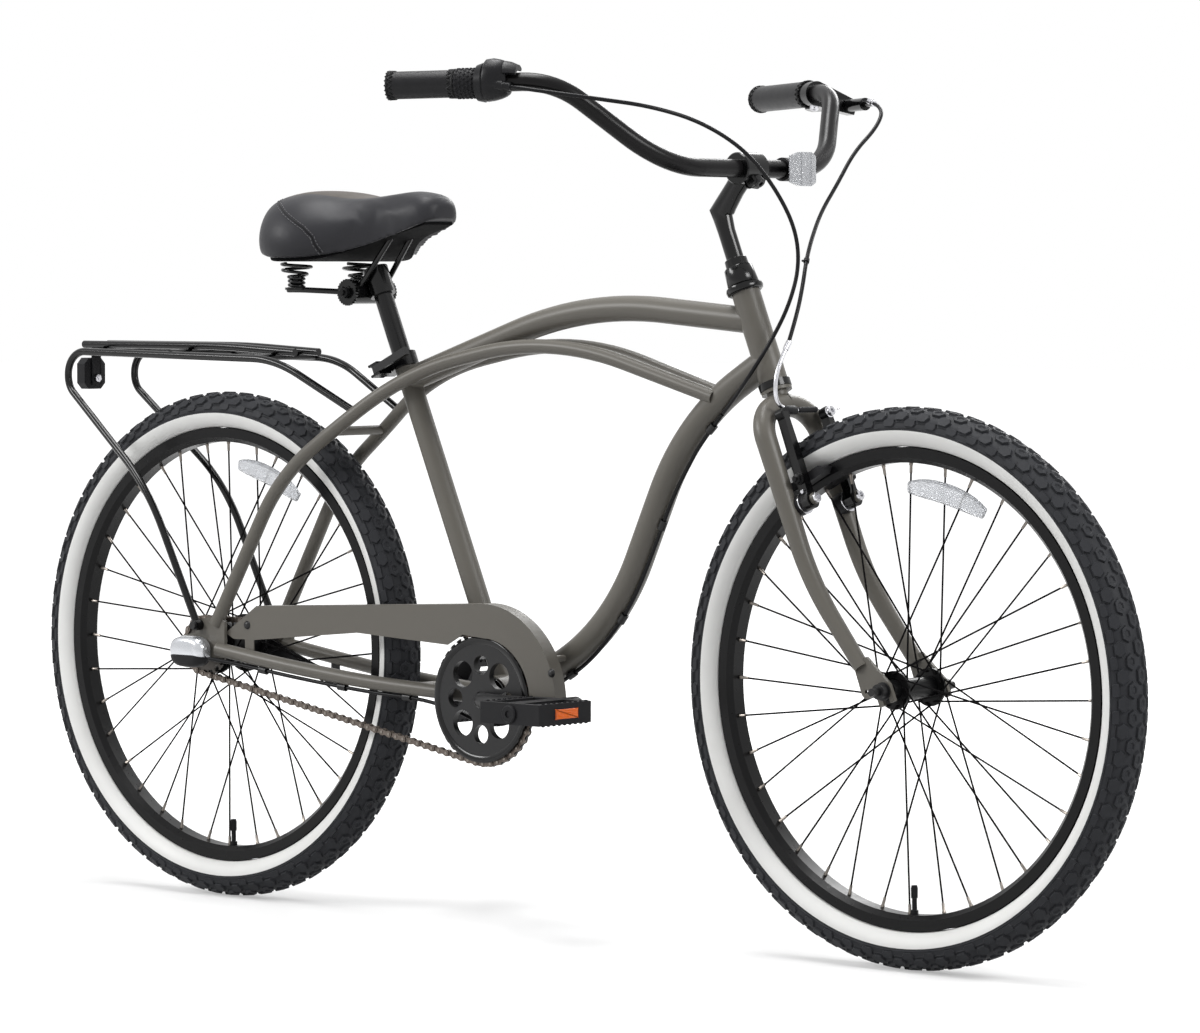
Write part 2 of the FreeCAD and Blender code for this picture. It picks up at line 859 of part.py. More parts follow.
head_tube_bore = S.head_tube_radius - S.head_tube_wall
node(
    sleeve("head_tube", S.head_tube_radius, head_tube_bore, S.head_tube_length, head_low, steer_up),
    "head_tube")
head_rod = cylinder("head_rod", S.head_tube_radius, S.head_tube_length, head_low, steer_up)
steerer_bore = S.steerer_radius + S.running_gap
cup_outline = [
    (steerer_bore, -S.cup_insert),
    (head_tube_bore, -S.cup_insert),
    (head_tube_bore, ZERO),
    (S.cup_radius, ZERO),
    (S.cup_radius, S.cup_height),
    (steerer_bore, S.cup_height),
]
upper_cup = turned("upper_cup", cup_outline, head_top, steer_up)
lower_cup = turned("lower_cup", cup_outline, head_low, -steer_up)


# Frame: main tubes

shell_base = bracket - along(LEFT, S.bracket_shell_width / 2)
shell_bore = S.bracket_shell_radius - S.bracket_shell_wall
node(
    sleeve(
        "bottom_bracket_shell", S.bracket_shell_radius, shell_bore, S.bracket_shell_width, shell_base, LEFT),
    "bottom_bracket_shell")
shell_rod = cylinder("shell_rod", S.bracket_shell_radius, S.bracket_shell_width, shell_base, LEFT)

seat_bore = S.seat_tube_radius - S.seat_tube_wall
seat_pipe = sleeve("seat_pipe", S.seat_tube_radius, seat_bore, S.seat_tube_length, bracket, seat_up)
node(cut("seat_tube", seat_pipe, shell_rod), "seat_tube")
seat_rod = cylinder("seat_rod", S.seat_tube_radius, S.seat_tube_length, bracket, seat_up)

top_start = head_low + along(steer_up, S.head_tube_length * TOP_TUBE_HEAD_SHARE)
top_end = bracket + along(seat_up, S.seat_tube_length - S.top_tube_drop)
top_apex = top_start + (top_end - top_start) * TOP_TUBE_APEX_SHARE + along(UP, S.top_tube_rise)
top_wire = rounded([top_start, top_apex, top_end], TOP_TUBE_BEND_SHARES)
top_pipe = tube("top", top_wire, S.top_tube_radius, S.tube_wall)[0]
node(cut("top_tube", top_pipe, head_rod, seat_rod), "top_tube")

down_start = head_low + along(steer_up, S.head_tube_length * DOWN_TUBE_HEAD_SHARE)
down_chord = bracket - down_start
down_bow = LEFT.cross(down_chord).normalize()
upper_corner = down_start + down_chord * DOWN_TUBE_CORNER_SHARES[0] + along(down_bow, S.down_tube_upper_bow)
lower_corner = down_start + down_chord * DOWN_TUBE_CORNER_SHARES[1] + along(down_bow, -S.down_tube_lower_bow)
down_wire = rounded([down_start, upper_corner, lower_corner, bracket], DOWN_TUBE_BEND_SHARES)
down_pipe, down_rod = tube("down", down_wire, S.down_tube_radius, S.tube_wall)
node(cut("down_tube", down_pipe, head_rod, shell_rod, seat_rod), "down_tube")


# Frame: rear dropouts

slot_half = S.rear_axle_radius + S.dropout_slot_gap
land = S.eyelet_land
dropout_outline = [
    (-S.dropout_tail, slot_half),
    (-S.dropout_tail, S.dropout_jaw),
    (ZERO, S.dropout_jaw + slot_half),
    (S.eyelet_forward - land, S.eyelet_rise),
    (S.eyelet_forward, S.eyelet_rise + land, land, -1),
    (S.dropout_nose - land, S.dropout_rise),
    (S.dropout_nose, S.dropout_rise - land),
    (S.dropout_nose, -S.dropout_jaw),
    (-S.dropout_tail, -S.dropout_jaw),
    (-S.dropout_tail, -slot_half),
    (ZERO, -slot_half),
    (slot_half, ZERO, slot_half, 1),
    (ZERO, slot_half, slot_half, 1),
]
right_dropout = plate(
    "right_dropout", dropout_outline, S.dropout_thickness, rear_axle + along(RIGHT, half_rear_gap),
    FORWARD, RIGHT, [(S.eyelet_forward, S.eyelet_rise, S.eyelet_hole_radius)])
left_dropout = mirrored("left_dropout", right_dropout)
node(group("rear_dropouts", right_dropout, left_dropout), "rear_dropouts")


# Frame: side tubes and chainstays

side_foot = rear_axle + at(S.side_tube_foot_forward, -dropout_side, S.side_tube_foot_rise)
side_join = down_start + (upper_corner - down_start) * SIDE_TUBE_JOIN_SHARE
side_run = bracket.x - side_foot.x
side_half = float(dropout_side)
wheel_rise = float(S.tyre_radius - S.side_tube_tuck)
side_heights = (
    rear_axle.z + wheel_rise * SIDE_TUBE_FIRST_SHARE,
    rear_axle.z + wheel_rise,
    side_foot.z + float(S.side_tube_rise) * SIDE_TUBE_SHOULDER_SHARE,
)
side_corners = [
    Vector(side_foot.x + side_run * along_share, -side_half * side_share, height)
    for (along_share, side_share), height in zip(SIDE_TUBE_CORNER_SHARES, side_heights)]
crest_share, crest_side_share = SIDE_TUBE_CREST_SHARES
side_corners.append(Vector(
    bracket.x + (side_join.x - bracket.x) * crest_share,
    -side_half * crest_side_share,
    side_foot.z + float(S.side_tube_rise)))
side_end = side_join + along(RIGHT, dropout_side * SIDE_TUBE_END_SHARE)
side_wire = rounded([side_foot, *side_corners, side_end], SIDE_TUBE_BEND_SHARES)
side_pipe, side_rod = tube("side", side_wire, S.side_tube_radius, S.side_tube_wall)
right_side_tube = cut("right_side_tube", side_pipe, right_dropout, down_rod)
left_side_tube = mirrored("left_side_tube", right_side_tube)
node(group("side_tubes", right_side_tube, left_side_tube), "side_tubes")

stay_foot = rear_axle + at(S.chainstay_foot_forward, -dropout_side, -S.chainstay_foot_drop)


def stay_corner(along_share, side_share, rise_share):
    return Vector(
        bracket.x + (stay_foot.x - bracket.x) * along_share,
        -float(dropout_side) * side_share,
        bracket.z + (stay_foot.z - bracket.z) * rise_share)


stay_corners = [stay_corner(*shares) for shares in CHAINSTAY_CORNER_SHARES]
stay_wire = rounded([*stay_corners, stay_foot], CHAINSTAY_BEND_SHARES)
stay_pipe, stay_rod = tube("stay", stay_wire, S.chainstay_radius, S.side_tube_wall)
right_chainstay = cut("right_chainstay", stay_pipe, shell_rod, right_dropout)
left_chainstay = mirrored("left_chainstay", right_chainstay)
node(group("chainstays", right_chainstay, left_chainstay), "chainstays")


# Frame: bridges between the stays and the strut that holds the chain guard

def bridge(name, point, rod):
    """A cross tube between a pair of stays."""
    bar = cylinder(name + "_bar", S.bridge_radius, as_dim(-2 * point.y), point, LEFT)
    return cut(name, bar, rod, mirrored(name + "_far_rod", rod))


bridge_reach = bracket.x - rear_axle.x - float(S.tyre_radius + S.bridge_clearance)
bridge_share = bridge_reach / (bracket.x - stay_foot.x)
stay_bridge_point = stay_corner(bridge_share, *[
    low + (high - low) * (bridge_share - CHAINSTAY_CORNER_SHARES[1][0])
    / (CHAINSTAY_CORNER_SHARES[2][0] - CHAINSTAY_CORNER_SHARES[1][0])
    for low, high in zip(CHAINSTAY_CORNER_SHARES[1][1:], CHAINSTAY_CORNER_SHARES[2][1:])])
upper_bridge = bridge("upper_bridge", side_corners[1], side_rod)
lower_bridge = bridge("lower_bridge", stay_bridge_point, stay_rod)
strut_point = bracket + (lower_corner - bracket) * GUARD_STRUT_SHARE
strut_bar = cylinder(
    "guard_strut_bar", S.guard_strut_radius, S.guard_side - S.fit_gap, strut_point, RIGHT)
guard_strut = cut("guard_strut", strut_bar, down_rod)
node(group("frame_bridges", upper_bridge, lower_bridge, guard_strut), "frame_bridges")


# Frame: bottom bracket cups

crank_bore = S.crank_radius + S.running_gap
bracket_cup_outline = [
    (crank_bore, -S.bracket_cup_insert),
    (shell_bore, -S.bracket_cup_insert),
    (shell_bore, ZERO),
    (S.bracket_cup_flange, ZERO),
    (S.bracket_cup_flange, S.bracket_cup_height),
    (crank_bore, S.bracket_cup_height),
]
right_cup = turned("right_bracket_cup", bracket_cup_outline, shell_base, RIGHT)
left_cup = mirrored("left_bracket_cup", right_cup)
node(group("bearing_cups", upper_cup, lower_cup, right_cup, left_cup), "bearing_cups")


# Wheels

def tyre(name, axle):
    half = S.tyre_width / 2
    core = S.tyre_radius - half
    neck = S.rim_radius + S.tyre_shoulder
    neck_half = root(half * half - (core - neck) * (core - neck))
    bead_half = S.rim_width / 2 - S.rim_wall - S.side_gap
    bead = S.rim_radius - S.bead_depth
    lip = S.rim_radius + S.tyre_lift
    inner = half - S.tyre_wall
    inner_half = bead_half - S.tyre_wall
    inner_neck = core - root(inner * inner - inner_half * inner_half)
    crown = S.tyre_radius - S.tyre_wall
    outline = [
        (bead, -bead_half),
        (lip, -bead_half),
        (neck, -neck_half),
        (S.tyre_radius, ZERO, half, 1),
        (neck, neck_half, half, 1),
        (lip, bead_half),
        (bead, bead_half),
        (bead, inner_half),
        (inner_neck, inner_half),
        (crown, ZERO, inner, -1),
        (inner_neck, -inner_half, inner, -1),
        (bead, -inner_half),
    ]
    return turned(name, outline, axle, LEFT)


def rim(name, axle):
    half = S.rim_width / 2
    bed = S.rim_radius - S.rim_depth
    side = S.rim_radius - S.rim_side_depth
    bed_half = S.rim_bed_width / 2
    wall = S.rim_wall
    outline = [
        (bed, -bed_half),
        (bed, bed_half),
        (side, half),
        (S.rim_radius, half),
        (S.rim_radius, half - wall),
        (side + wall / 2, half - wall),
        (bed + wall, bed_half - wall / 2),
        (bed + wall, wall / 2 - bed_half),
        (side + wall / 2, wall - half),
        (S.rim_radius, wall - half),
        (S.rim_radius, -half),
        (side, -half),
    ]
    return turned(name, outline, axle, LEFT)


def spokes(name, axle, flange_circle, flange_spacing):
    """Tangent-laced spokes, alternate ones leaving the outer and the inner face of each flange."""
    count = int(S.spoke_count.value)
    step = 2 * FULL_TURN / count
    radius = float(S.spoke_radius)
    face = float(S.flange_thickness) / 2 + radius + float(S.spoke_lift)
    end_radius = float(S.rim_radius - S.rim_depth - S.spoke_seat_gap)
    solids = []
    for side in (-1, 1):
        for number in range(count // 2):
            lead = 1 if number % 2 == 0 else -1
            angle = number * step + (step / 2 if side > 0 else 0)
            hub_arm = turned_about(UP, LEFT, angle)
            rim_arm = turned_about(UP, LEFT, angle + lead * step * float(S.spoke_crosses))
            start = axle + along(hub_arm, flange_circle)
            start += LEFT * (side * (float(flange_spacing) / 2 + lead * face))
            end = axle + rim_arm * end_radius + along(LEFT, S.spoke_rim_offset * side)
            run = end - start
            solids.append(Part.makeCylinder(radius, run.Length, start, run))
    return formed(name, Part.makeCompound(solids))


def flanged_hub(name, axle, left, right, barrel, bore, axle_bore, flange_radius, spacing):
    """A hub shell with two spoke flanges and a bearing at each end."""
    half = S.flange_thickness / 2
    flange = spacing / 2
    outline = [
        (axle_bore, -right),
        (S.cone_radius + S.flange_thickness, -right),
        (barrel, -flange - half),
        (flange_radius, -flange - half),
        (flange_radius, half - flange),
        (barrel, half - flange),
        (barrel, flange - half),
        (flange_radius, flange - half),
        (flange_radius, flange + half),
        (barrel, flange + half),
        (S.cone_radius + S.flange_thickness, left),
        (axle_bore, left),
        (axle_bore, left - S.bearing_width),
        (bore, left - S.bearing_width - S.flange_thickness),
        (bore, S.bearing_width + S.flange_thickness - right),
        (axle_bore, S.bearing_width - right),
    ]
    return turned(name, outline, axle, LEFT)


front_flange_circle = S.front_flange_radius - S.flange_rim
rear_flange_circle = S.rear_flange_radius - S.flange_rim
half_front_hub = S.front_hub_width / 2
front_axle_bore = S.front_axle_radius + S.running_gap
rear_axle_bore = S.rear_axle_radius + S.running_gap
node(tyre("front_tyre", front_axle), "front_tyre")
node(rim("front_rim", front_axle), "front_rim")
node(spokes("front_spokes", front_axle, front_flange_circle, S.front_flange_spacing), "front_spokes")
node(
    flanged_hub(
        "front_hub", front_axle, half_front_hub, half_front_hub, S.front_hub_radius, S.front_hub_bore,
        front_axle_bore, S.front_flange_radius, S.front_flange_spacing),
    "front_hub")
node(tyre("rear_tyre", rear_axle), "rear_tyre")
node(rim("rear_rim", rear_axle), "rear_rim")
node(spokes("rear_spokes", rear_axle, rear_flange_circle, S.rear_flange_spacing), "rear_spokes")
node(
    flanged_hub(
        "rear_hub", rear_axle, S.rear_hub_left, S.rear_hub_right, S.rear_hub_radius, S.rear_hub_bore,
        rear_axle_bore, S.rear_flange_radius, S.rear_flange_spacing),
    "rear_hub")


# Axles with their cones, washers and nuts

def axle_set(name, axle, radius, gap, plate_thickness, left, right):
    """An axle with a cone nut up to each fork end, and a washer and a nut outside it."""
    half_gap = gap / 2
    outside = half_gap + plate_thickness
    end = outside + S.washer_height + S.nut_height + S.axle_overhang
    rod = cylinder(name + "_rod", radius, end * 2, axle + along(RIGHT, end), LEFT)
    bore = radius + S.fit_gap
    washer_base = axle + along(LEFT, outside)
    nut_base = axle + along(LEFT, outside + S.washer_height)
    washer = sleeve(name + "_washer", S.washer_radius, bore, S.washer_height, washer_base, LEFT)
    nut = sleeve(name + "_nut", S.nut_radius, bore, S.nut_height, nut_base, LEFT)
    pieces = [rod, washer, nut, mirrored(name + "_far_washer", washer), mirrored(name + "_far_nut", nut)]
    for side, start, direction in (("left", left, LEFT), ("right", right, RIGHT)):
        base = axle + along(direction, start + S.side_gap)
        length = half_gap - start - S.side_gap
        pieces.append(sleeve(f"{name}_{side}_cone", S.cone_radius, bore, length, base, direction))
    return group(name, *pieces)


sprocket_outside = S.chain_line + S.ring_thickness / 2 + S.disc_gap
node(
    axle_set(
        "front_axle", front_axle, S.front_axle_radius, S.front_dropout_gap, S.fork_end_thickness,
        half_front_hub, half_front_hub),
    "front_axle")
node(
    axle_set(
        "rear_axle", rear_axle, S.rear_axle_radius, S.rear_dropout_gap, S.dropout_thickness,
        S.rear_hub_left, sprocket_outside),
    "rear_axle")


# Fork

steerer_top = S.head_tube_length + S.cup_height + S.locknut_height - S.cut_overrun
steerer_length = steerer_top + S.crown_drop
steerer_base = fork_at(0, 0, S.crown_drop)
steerer_rod = cylinder("steerer_rod", S.steerer_radius, steerer_length, steerer_base, steer_up)
steerer_pipe = sleeve(
    "steerer_pipe", S.steerer_radius, S.steerer_radius - S.steerer_wall, steerer_length, steerer_base,
    steer_up)
race_base = fork_at(0, 0, S.cup_height + S.side_gap)
crown_race = sleeve("crown_race", S.race_radius, S.steerer_radius, S.race_height, race_base, -steer_up)
node(fuse("fork_steerer", steerer_pipe, crown_race), "fork_steerer")

locknut_base = S.cup_height + S.side_gap
locknut_bore = S.steerer_radius + S.fit_gap
locknut_outline = [
    (locknut_bore, locknut_base),
    (S.locknut_foot_radius, locknut_base),
    (S.locknut_foot_radius, locknut_base + S.locknut_foot_height),
    (S.locknut_radius, locknut_base + S.locknut_foot_height),
    (S.locknut_radius, S.cup_height + S.locknut_height),
    (locknut_bore, S.cup_height + S.locknut_height),
]
node(turned("headset_locknut", locknut_outline, head_top, steer_up), "headset_locknut")

blade_points = [
    fork_at(S.blade_forward, -S.side_gap / 2, S.crown_drop),
    fork_at(S.blade_forward, -S.blade_side, S.shoulder_drop),
    fork_at(S.blade_forward, -S.blade_side, S.rake_start_drop),
    fork_at(S.blade_end_forward, -S.blade_side, S.blade_end_drop),
]
blade_wire = rounded(blade_points, FORK_BEND_SHARES)
blade_rod = swept("blade_rod", blade_wire, S.blade_top_radius, S.blade_end_radius)
blade_core = swept(
    "blade_core", blade_wire, S.blade_top_radius - S.blade_wall, S.blade_end_radius - S.blade_wall)
half_front_gap = S.front_dropout_gap / 2
fork_slot = S.front_axle_radius + S.dropout_slot_gap
blade_foot_forward = S.blade_end_forward - S.fork_rake
fork_end_outline = [
    (fork_slot, -S.fork_end_tail),
    (S.fork_end_lip, -S.fork_end_tail),
    (S.fork_end_lip, fork_slot),
    (blade_foot_forward + S.fork_end_lip, S.blade_end_rise + S.blade_end_radius),
    (blade_foot_forward - S.blade_end_radius, S.blade_end_rise + S.blade_end_radius),
    (-S.fork_eyelet_back - S.eyelet_land, S.fork_eyelet_rise),
    (-S.fork_eyelet_back, S.fork_eyelet_rise - S.eyelet_land, S.eyelet_land, 1),
    (-S.fork_end_lip, ZERO),
    (-S.fork_end_lip, -S.fork_end_tail),
    (-fork_slot, -S.fork_end_tail),
    (-fork_slot, ZERO),
    (ZERO, fork_slot, fork_slot, -1),
    (fork_slot, ZERO, fork_slot, -1),
]
right_fork_end = plate(
    "right_fork_end", fork_end_outline, S.fork_end_thickness, front_axle + along(RIGHT, half_front_gap),
    steer_forward, RIGHT, [(-S.fork_eyelet_back, S.fork_eyelet_rise, S.eyelet_hole_radius)])
left_fork_end = mirrored("left_fork_end", right_fork_end)
right_blade = cut("right_blade", blade_rod, blade_core, steerer_rod, right_fork_end)
left_blade = mirrored("left_blade", right_blade)
node(group("fork_blades", right_blade, left_blade), "fork_blades")


# Brake bosses, arms and pads

arm_start = S.blade_forward + S.boss_base_length + S.side_gap
arm_middle = arm_start + S.arm_thickness / 2
pad_circle = S.rim_radius - S.pad_track_inset
pad_lead = S.fork_rake - arm_middle
pad_drop = S.fork_length - root(pad_circle * pad_circle - pad_lead * pad_lead)
pivot_drop = pad_drop + S.pad_pivot_drop
stud_end = S.boss_base_length + S.arm_thickness + S.side_gap * 2
boss_outline = [
    (ZERO, ZERO),
    (S.boss_base_radius, ZERO),
    (S.boss_base_radius, S.boss_base_length),
    (S.stud_radius, S.boss_base_length),
    (S.stud_radius, stud_end),
    (S.stud_head_radius, stud_end),
    (S.stud_head_radius, stud_end + S.stud_head_height),
    (ZERO, stud_end + S.stud_head_height),
]
right_pivot = fork_at(S.blade_forward, -S.boss_side, pivot_drop)
boss_pin = turned("boss_pin", boss_outline, right_pivot, steer_forward)
right_boss = cut("right_boss", boss_pin, blade_rod)
left_boss = mirrored("left_boss", right_boss)
node(group("fork_fittings", right_fork_end, left_fork_end, right_boss, left_boss), "fork_fittings")

eye = S.arm_eye_radius
arm_outline = [
    (ZERO, -eye, eye, 1),
    (eye, ZERO, eye, 1),
    (S.arm_half_width, eye),
    (S.arm_half_width, S.arm_length / 2),
    (S.arm_tip_half_width, S.arm_length),
    (-S.arm_tip_half_width, S.arm_length),
    (-S.arm_half_width, S.arm_length / 2),
    (-S.arm_half_width, eye),
    (-eye, ZERO),
]
arm_base = right_pivot + along(steer_forward, S.boss_base_length + S.side_gap)
right_arm = plate(
    "brake_arm_right", arm_outline, S.arm_thickness, arm_base, LEFT, steer_forward,
    [(ZERO, ZERO, S.stud_radius + S.running_gap)])
node(right_arm, "brake_arm_right")
node(mirrored("brake_arm_left", right_arm), "brake_arm_left")

pad_side = S.rim_width / 2 + S.pad_gap
pad_depth = S.boss_side - S.arm_half_width - pad_side - S.side_gap
pad_centre = fork_at(arm_middle, -pad_side, pad_drop)
pad_radial = (pad_centre - front_axle)
pad_radial.y = 0
pad_radial.normalize()
half_pad = S.pad_length / 2
half_height = S.pad_height / 2
pad_outline = [
    (-half_pad, ZERO),
    (S.pad_nose - half_pad, -half_height),
    (half_pad - S.pad_nose, -half_height),
    (half_pad, ZERO),
    (half_pad - S.pad_nose, half_height),
    (S.pad_nose - half_pad, half_height),
]
right_pad = plate("brake_pad_right", pad_outline, pad_depth, pad_centre, RIGHT.cross(pad_radial), RIGHT)
node(right_pad, "brake_pad_right")
node(mirrored("brake_pad_left", right_pad), "brake_pad_left")


# Stem and handlebar

stem_corner = head_top + along(steer_up, S.stem_corner_rise)
bar_centre = head_top + along(steer_up, S.stem_clamp_rise) + along(steer_forward, S.stem_reach)
quill_radius = S.steerer_radius - S.steerer_wall - S.fit_gap
stack_top = S.cup_height + S.locknut_height + S.fit_gap
quill = cylinder(
    "quill", quill_radius, S.quill_depth + stack_top, head_top - along(steer_up, S.quill_depth), steer_up)
neck_start = head_top + along(steer_up, stack_top)
neck_wire = rounded([neck_start, stem_corner, bar_centre], STEM_BEND_SHARES)
neck = swept("stem_neck", neck_wire, S.stem_neck_radius)
clamp_base = bar_centre + along(RIGHT, S.stem_clamp_width / 2)
stem_clamp = cylinder("stem_clamp", S.stem_clamp_radius, S.stem_clamp_width, clamp_base, LEFT)
stem_solid = fuse("stem_solid", quill, neck, stem_clamp)
bar_hole = cylinder(
    "bar_hole", S.bar_radius + S.fit_gap, S.stem_clamp_width + S.cut_overrun * 2,
    clamp_base + along(RIGHT, S.cut_overrun), LEFT)
node(cut("stem", stem_solid, bar_hole), "stem")


def bar_corner(sweep_share, side_share, rise_share, side):
    return bar_centre + at(
        -S.bar_sweep * sweep_share, S.bar_width / 2 * (side_share * side), S.bar_rise * rise_share)


bar_left = [bar_corner(*shares, 1) for shares in BAR_CORNER_SHARES]
bar_right = [bar_corner(*shares, -1) for shares in BAR_CORNER_SHARES]
bar_wire = rounded(
    [*reversed(bar_left), *bar_right], [*reversed(BAR_BEND_SHARES), *BAR_BEND_SHARES])
node(tube("handlebar", bar_wire, S.bar_radius, S.bar_wall)[0], "handlebar")

left_inward = (bar_left[1] - bar_left[2]).normalize()
right_inward = (bar_right[1] - bar_right[2]).normalize()
left_bar_end = bar_left[2]
right_bar_end = bar_right[2]
bar_bore = S.bar_radius + S.fit_gap


def grip(name, length, end, inward):
    """A rubber grip closed over the end of the bar."""
    outline = [
        (ZERO, -S.grip_cap),
        (S.grip_radius, -S.grip_cap),
        (S.grip_radius, length - S.grip_flange_width),
        (S.grip_flange_radius, length - S.grip_flange_width),
        (S.grip_flange_radius, length),
        (bar_bore, length),
        (bar_bore, ZERO),
        (ZERO, ZERO),
    ]
    return turned(name, outline, end, inward)


left_grip = grip("left_grip", S.left_grip_length, left_bar_end, left_inward)
right_grip = grip("right_grip", S.right_grip_length, right_bar_end, right_inward)
node(group("grips", left_grip, right_grip), "grips")

twist_start = S.right_grip_length + S.side_gap
node(
    sleeve(
        "shifter_grip", S.twist_radius, S.bar_radius + S.running_gap, S.twist_length,
        right_bar_end + along(right_inward, twist_start), right_inward),
    "shifter_grip")

shifter_start = twist_start + S.twist_length + S.side_gap
pod = S.shifter_radius
half_crest = S.shifter_crest_width / 2
shifter_outline = [
    (ZERO, -pod, pod, 1),
    (pod, ZERO, pod, 1),
    (half_crest, S.shifter_crest),
    (-half_crest, S.shifter_crest),
    (-pod, ZERO),
]
right_ahead = right_inward.cross(UP).normalize()
node(
    plate(
        "shifter_housing", shifter_outline, S.shifter_width,
        right_bar_end + along(right_inward, shifter_start), right_ahead, right_inward,
        [(ZERO, ZERO, bar_bore)]),
    "shifter_housing")


# Brake lever and its bracket

left_ahead = turned_about(UP.cross(left_inward).normalize(), left_inward, -float(S.lever_tilt))
bracket_start = S.left_grip_length + S.side_gap
bracket_point = left_bar_end + along(left_inward, bracket_start)
lever_up = left_inward.cross(left_ahead)
pin_reach = S.bracket_reach - S.lever_pin_inset
pin_along = S.bracket_width / 2
bracket_outline = [
    (-S.bracket_radius, ZERO, S.bracket_radius, 1),
    (ZERO, -S.bracket_radius, S.bracket_radius, 1),
    (S.bracket_reach, -S.bracket_half_height),
    (S.bracket_reach, S.bracket_half_height),
    (ZERO, S.bracket_radius),
]
bracket_body = plate(
    "bracket_body", bracket_outline, S.bracket_width, bracket_point, left_ahead, left_inward,
    [(ZERO, ZERO, bar_bore)])
slot_box = doc.addObject("Part::Box", "lever_slot_box")
bind(slot_box, Length=S.bracket_reach, Width=S.lever_slot, Height=S.bracket_width + S.cut_overrun * 2)
slot_back = S.bracket_reach - S.lever_pin_inset * 2
slot_box.Placement = Placement(
    bracket_point + along(left_ahead, slot_back) - along(left_inward, S.cut_overrun)
    - along(lever_up, S.lever_slot / 2),
    Rotation(left_ahead, lever_up, left_inward, "ZXY"))
lever_pivot = bracket_point + along(left_ahead, pin_reach) + along(left_inward, pin_along)
pin_base = lever_pivot - along(lever_up, S.bracket_half_height)
lever_pin = cylinder("lever_pin", S.lever_pin_radius, S.bracket_half_height * 2, pin_base, lever_up)
housing_base = bracket_point + along(left_inward, S.bracket_width) + along(left_ahead, pin_reach)
cable_housing = cylinder("cable_housing", S.housing_radius, S.housing_length, housing_base, left_inward)
barrel = cylinder(
    "cable_barrel", S.barrel_radius, S.barrel_length, housing_base + along(left_inward, S.housing_length),
    left_inward)
slotted = cut("slotted_bracket", bracket_body, slot_box)
node(fuse("brake_bracket", slotted, lever_pin, cable_housing, barrel), "brake_bracket")

half_lever = S.lever_width / 2
tip_drop = S.lever_tip_reach - pin_reach
lever_outline = [
    (ZERO, half_lever, half_lever, 1),
    (-S.lever_length, tip_drop + half_lever),
    (-S.lever_length - half_lever, tip_drop, half_lever, 1),
    (-S.lever_length, tip_drop - half_lever, half_lever, 1),
    (ZERO, -half_lever),
    (half_lever, ZERO, half_lever, 1),
]
node(
    plate(
        "brake_lever", lever_outline, S.lever_thickness, lever_pivot - along(lever_up, S.lever_thickness / 2),
        left_inward, lever_up, [(ZERO, ZERO, S.lever_pin_radius + S.running_gap)]),
    "brake_lever")


# Front reflector on the handlebar

reflector_centre = bar_centre + along(LEFT, S.reflector_side)
ring_outer = S.bar_radius + S.reflector_ring_wall
half_band = S.reflector_band / 2
reflector_ring = sleeve(
    "reflector_ring", ring_outer, bar_bore, S.reflector_band, reflector_centre - along(LEFT, half_band), LEFT)
reflector_arm = doc.addObject("Part::Box", "reflector_arm")
arm_length = S.reflector_reach - S.reflector_thickness - S.bar_radius
bind(reflector_arm, Length=arm_length, Width=S.reflector_band, Height=S.reflector_ring_wall)
reflector_arm.Placement = Placement(reflector_centre + at(S.bar_radius, -half_band, 0), Rotation())
reflector_body = doc.addObject("Part::Box", "reflector_body")
bind(reflector_body, Length=S.reflector_thickness, Width=S.reflector_width, Height=S.reflector_height)
reflector_body.Placement = Placement(
    reflector_centre + at(
        S.reflector_reach - S.reflector_thickness, -S.reflector_width / 2, -S.reflector_height / 2),
    Rotation())
node(fuse("front_reflector", reflector_ring, reflector_arm, reflector_body), "front_reflector")


# Sprockets and chain

run_tilt = math.asin(radius_step / centre_distance)
chain_axis = (rear_axle - bracket).normalize()
upper_normal = turned_about(chain_axis, LEFT, QUARTER_TURN - math.degrees(run_tilt))
run_length = math.sqrt(centre_distance ** 2 - radius_step ** 2)
pitches_on_run = run_length / float(S.chain_pitch)
sprocket_phase = (math.ceil(pitches_on_run) - pitches_on_run) * FULL_TURN / float(S.sprocket_teeth)


def toothed_wheel(name, teeth, pitch_radius, bore, base, first_gullet):
    """A chain wheel: a disc with one gullet, repeated round its axis."""
    body = doc.addObject("PartDesign::Body", name)
    sketch = new_sketch(body, "XY_Plane")
    draw_holes(sketch, [(ZERO, ZERO, pitch_radius + S.tooth_height), (ZERO, ZERO, bore)])
    pad = body.newObject("PartDesign::Pad", name + "_pad")
    pad.Profile = sketch
    bind(pad, Length=S.ring_thickness)
    gullet_sketch = new_sketch(body, "XY_Plane")
    draw_holes(gullet_sketch, [(pitch_radius, ZERO, S.roller_radius + S.side_gap)])
    gullet = body.newObject("PartDesign::Pocket", name + "_gullet")
    gullet.Profile = gullet_sketch
    gullet.Type = "ThroughAll"
    gullet.Reversed = True
    pattern = body.newObject("PartDesign::PolarPattern", name + "_teeth")
    pattern.Originals = [gullet]
    pattern.Axis = (gullet_sketch, ["N_Axis"])
    pattern.Angle = FULL_TURN
    bind(pattern, Occurrences=teeth)
    body.Tip = pattern
    body.Placement = Placement(base, Rotation(first_gullet, RIGHT.cross(first_gullet), RIGHT, "ZXY"))
    return body


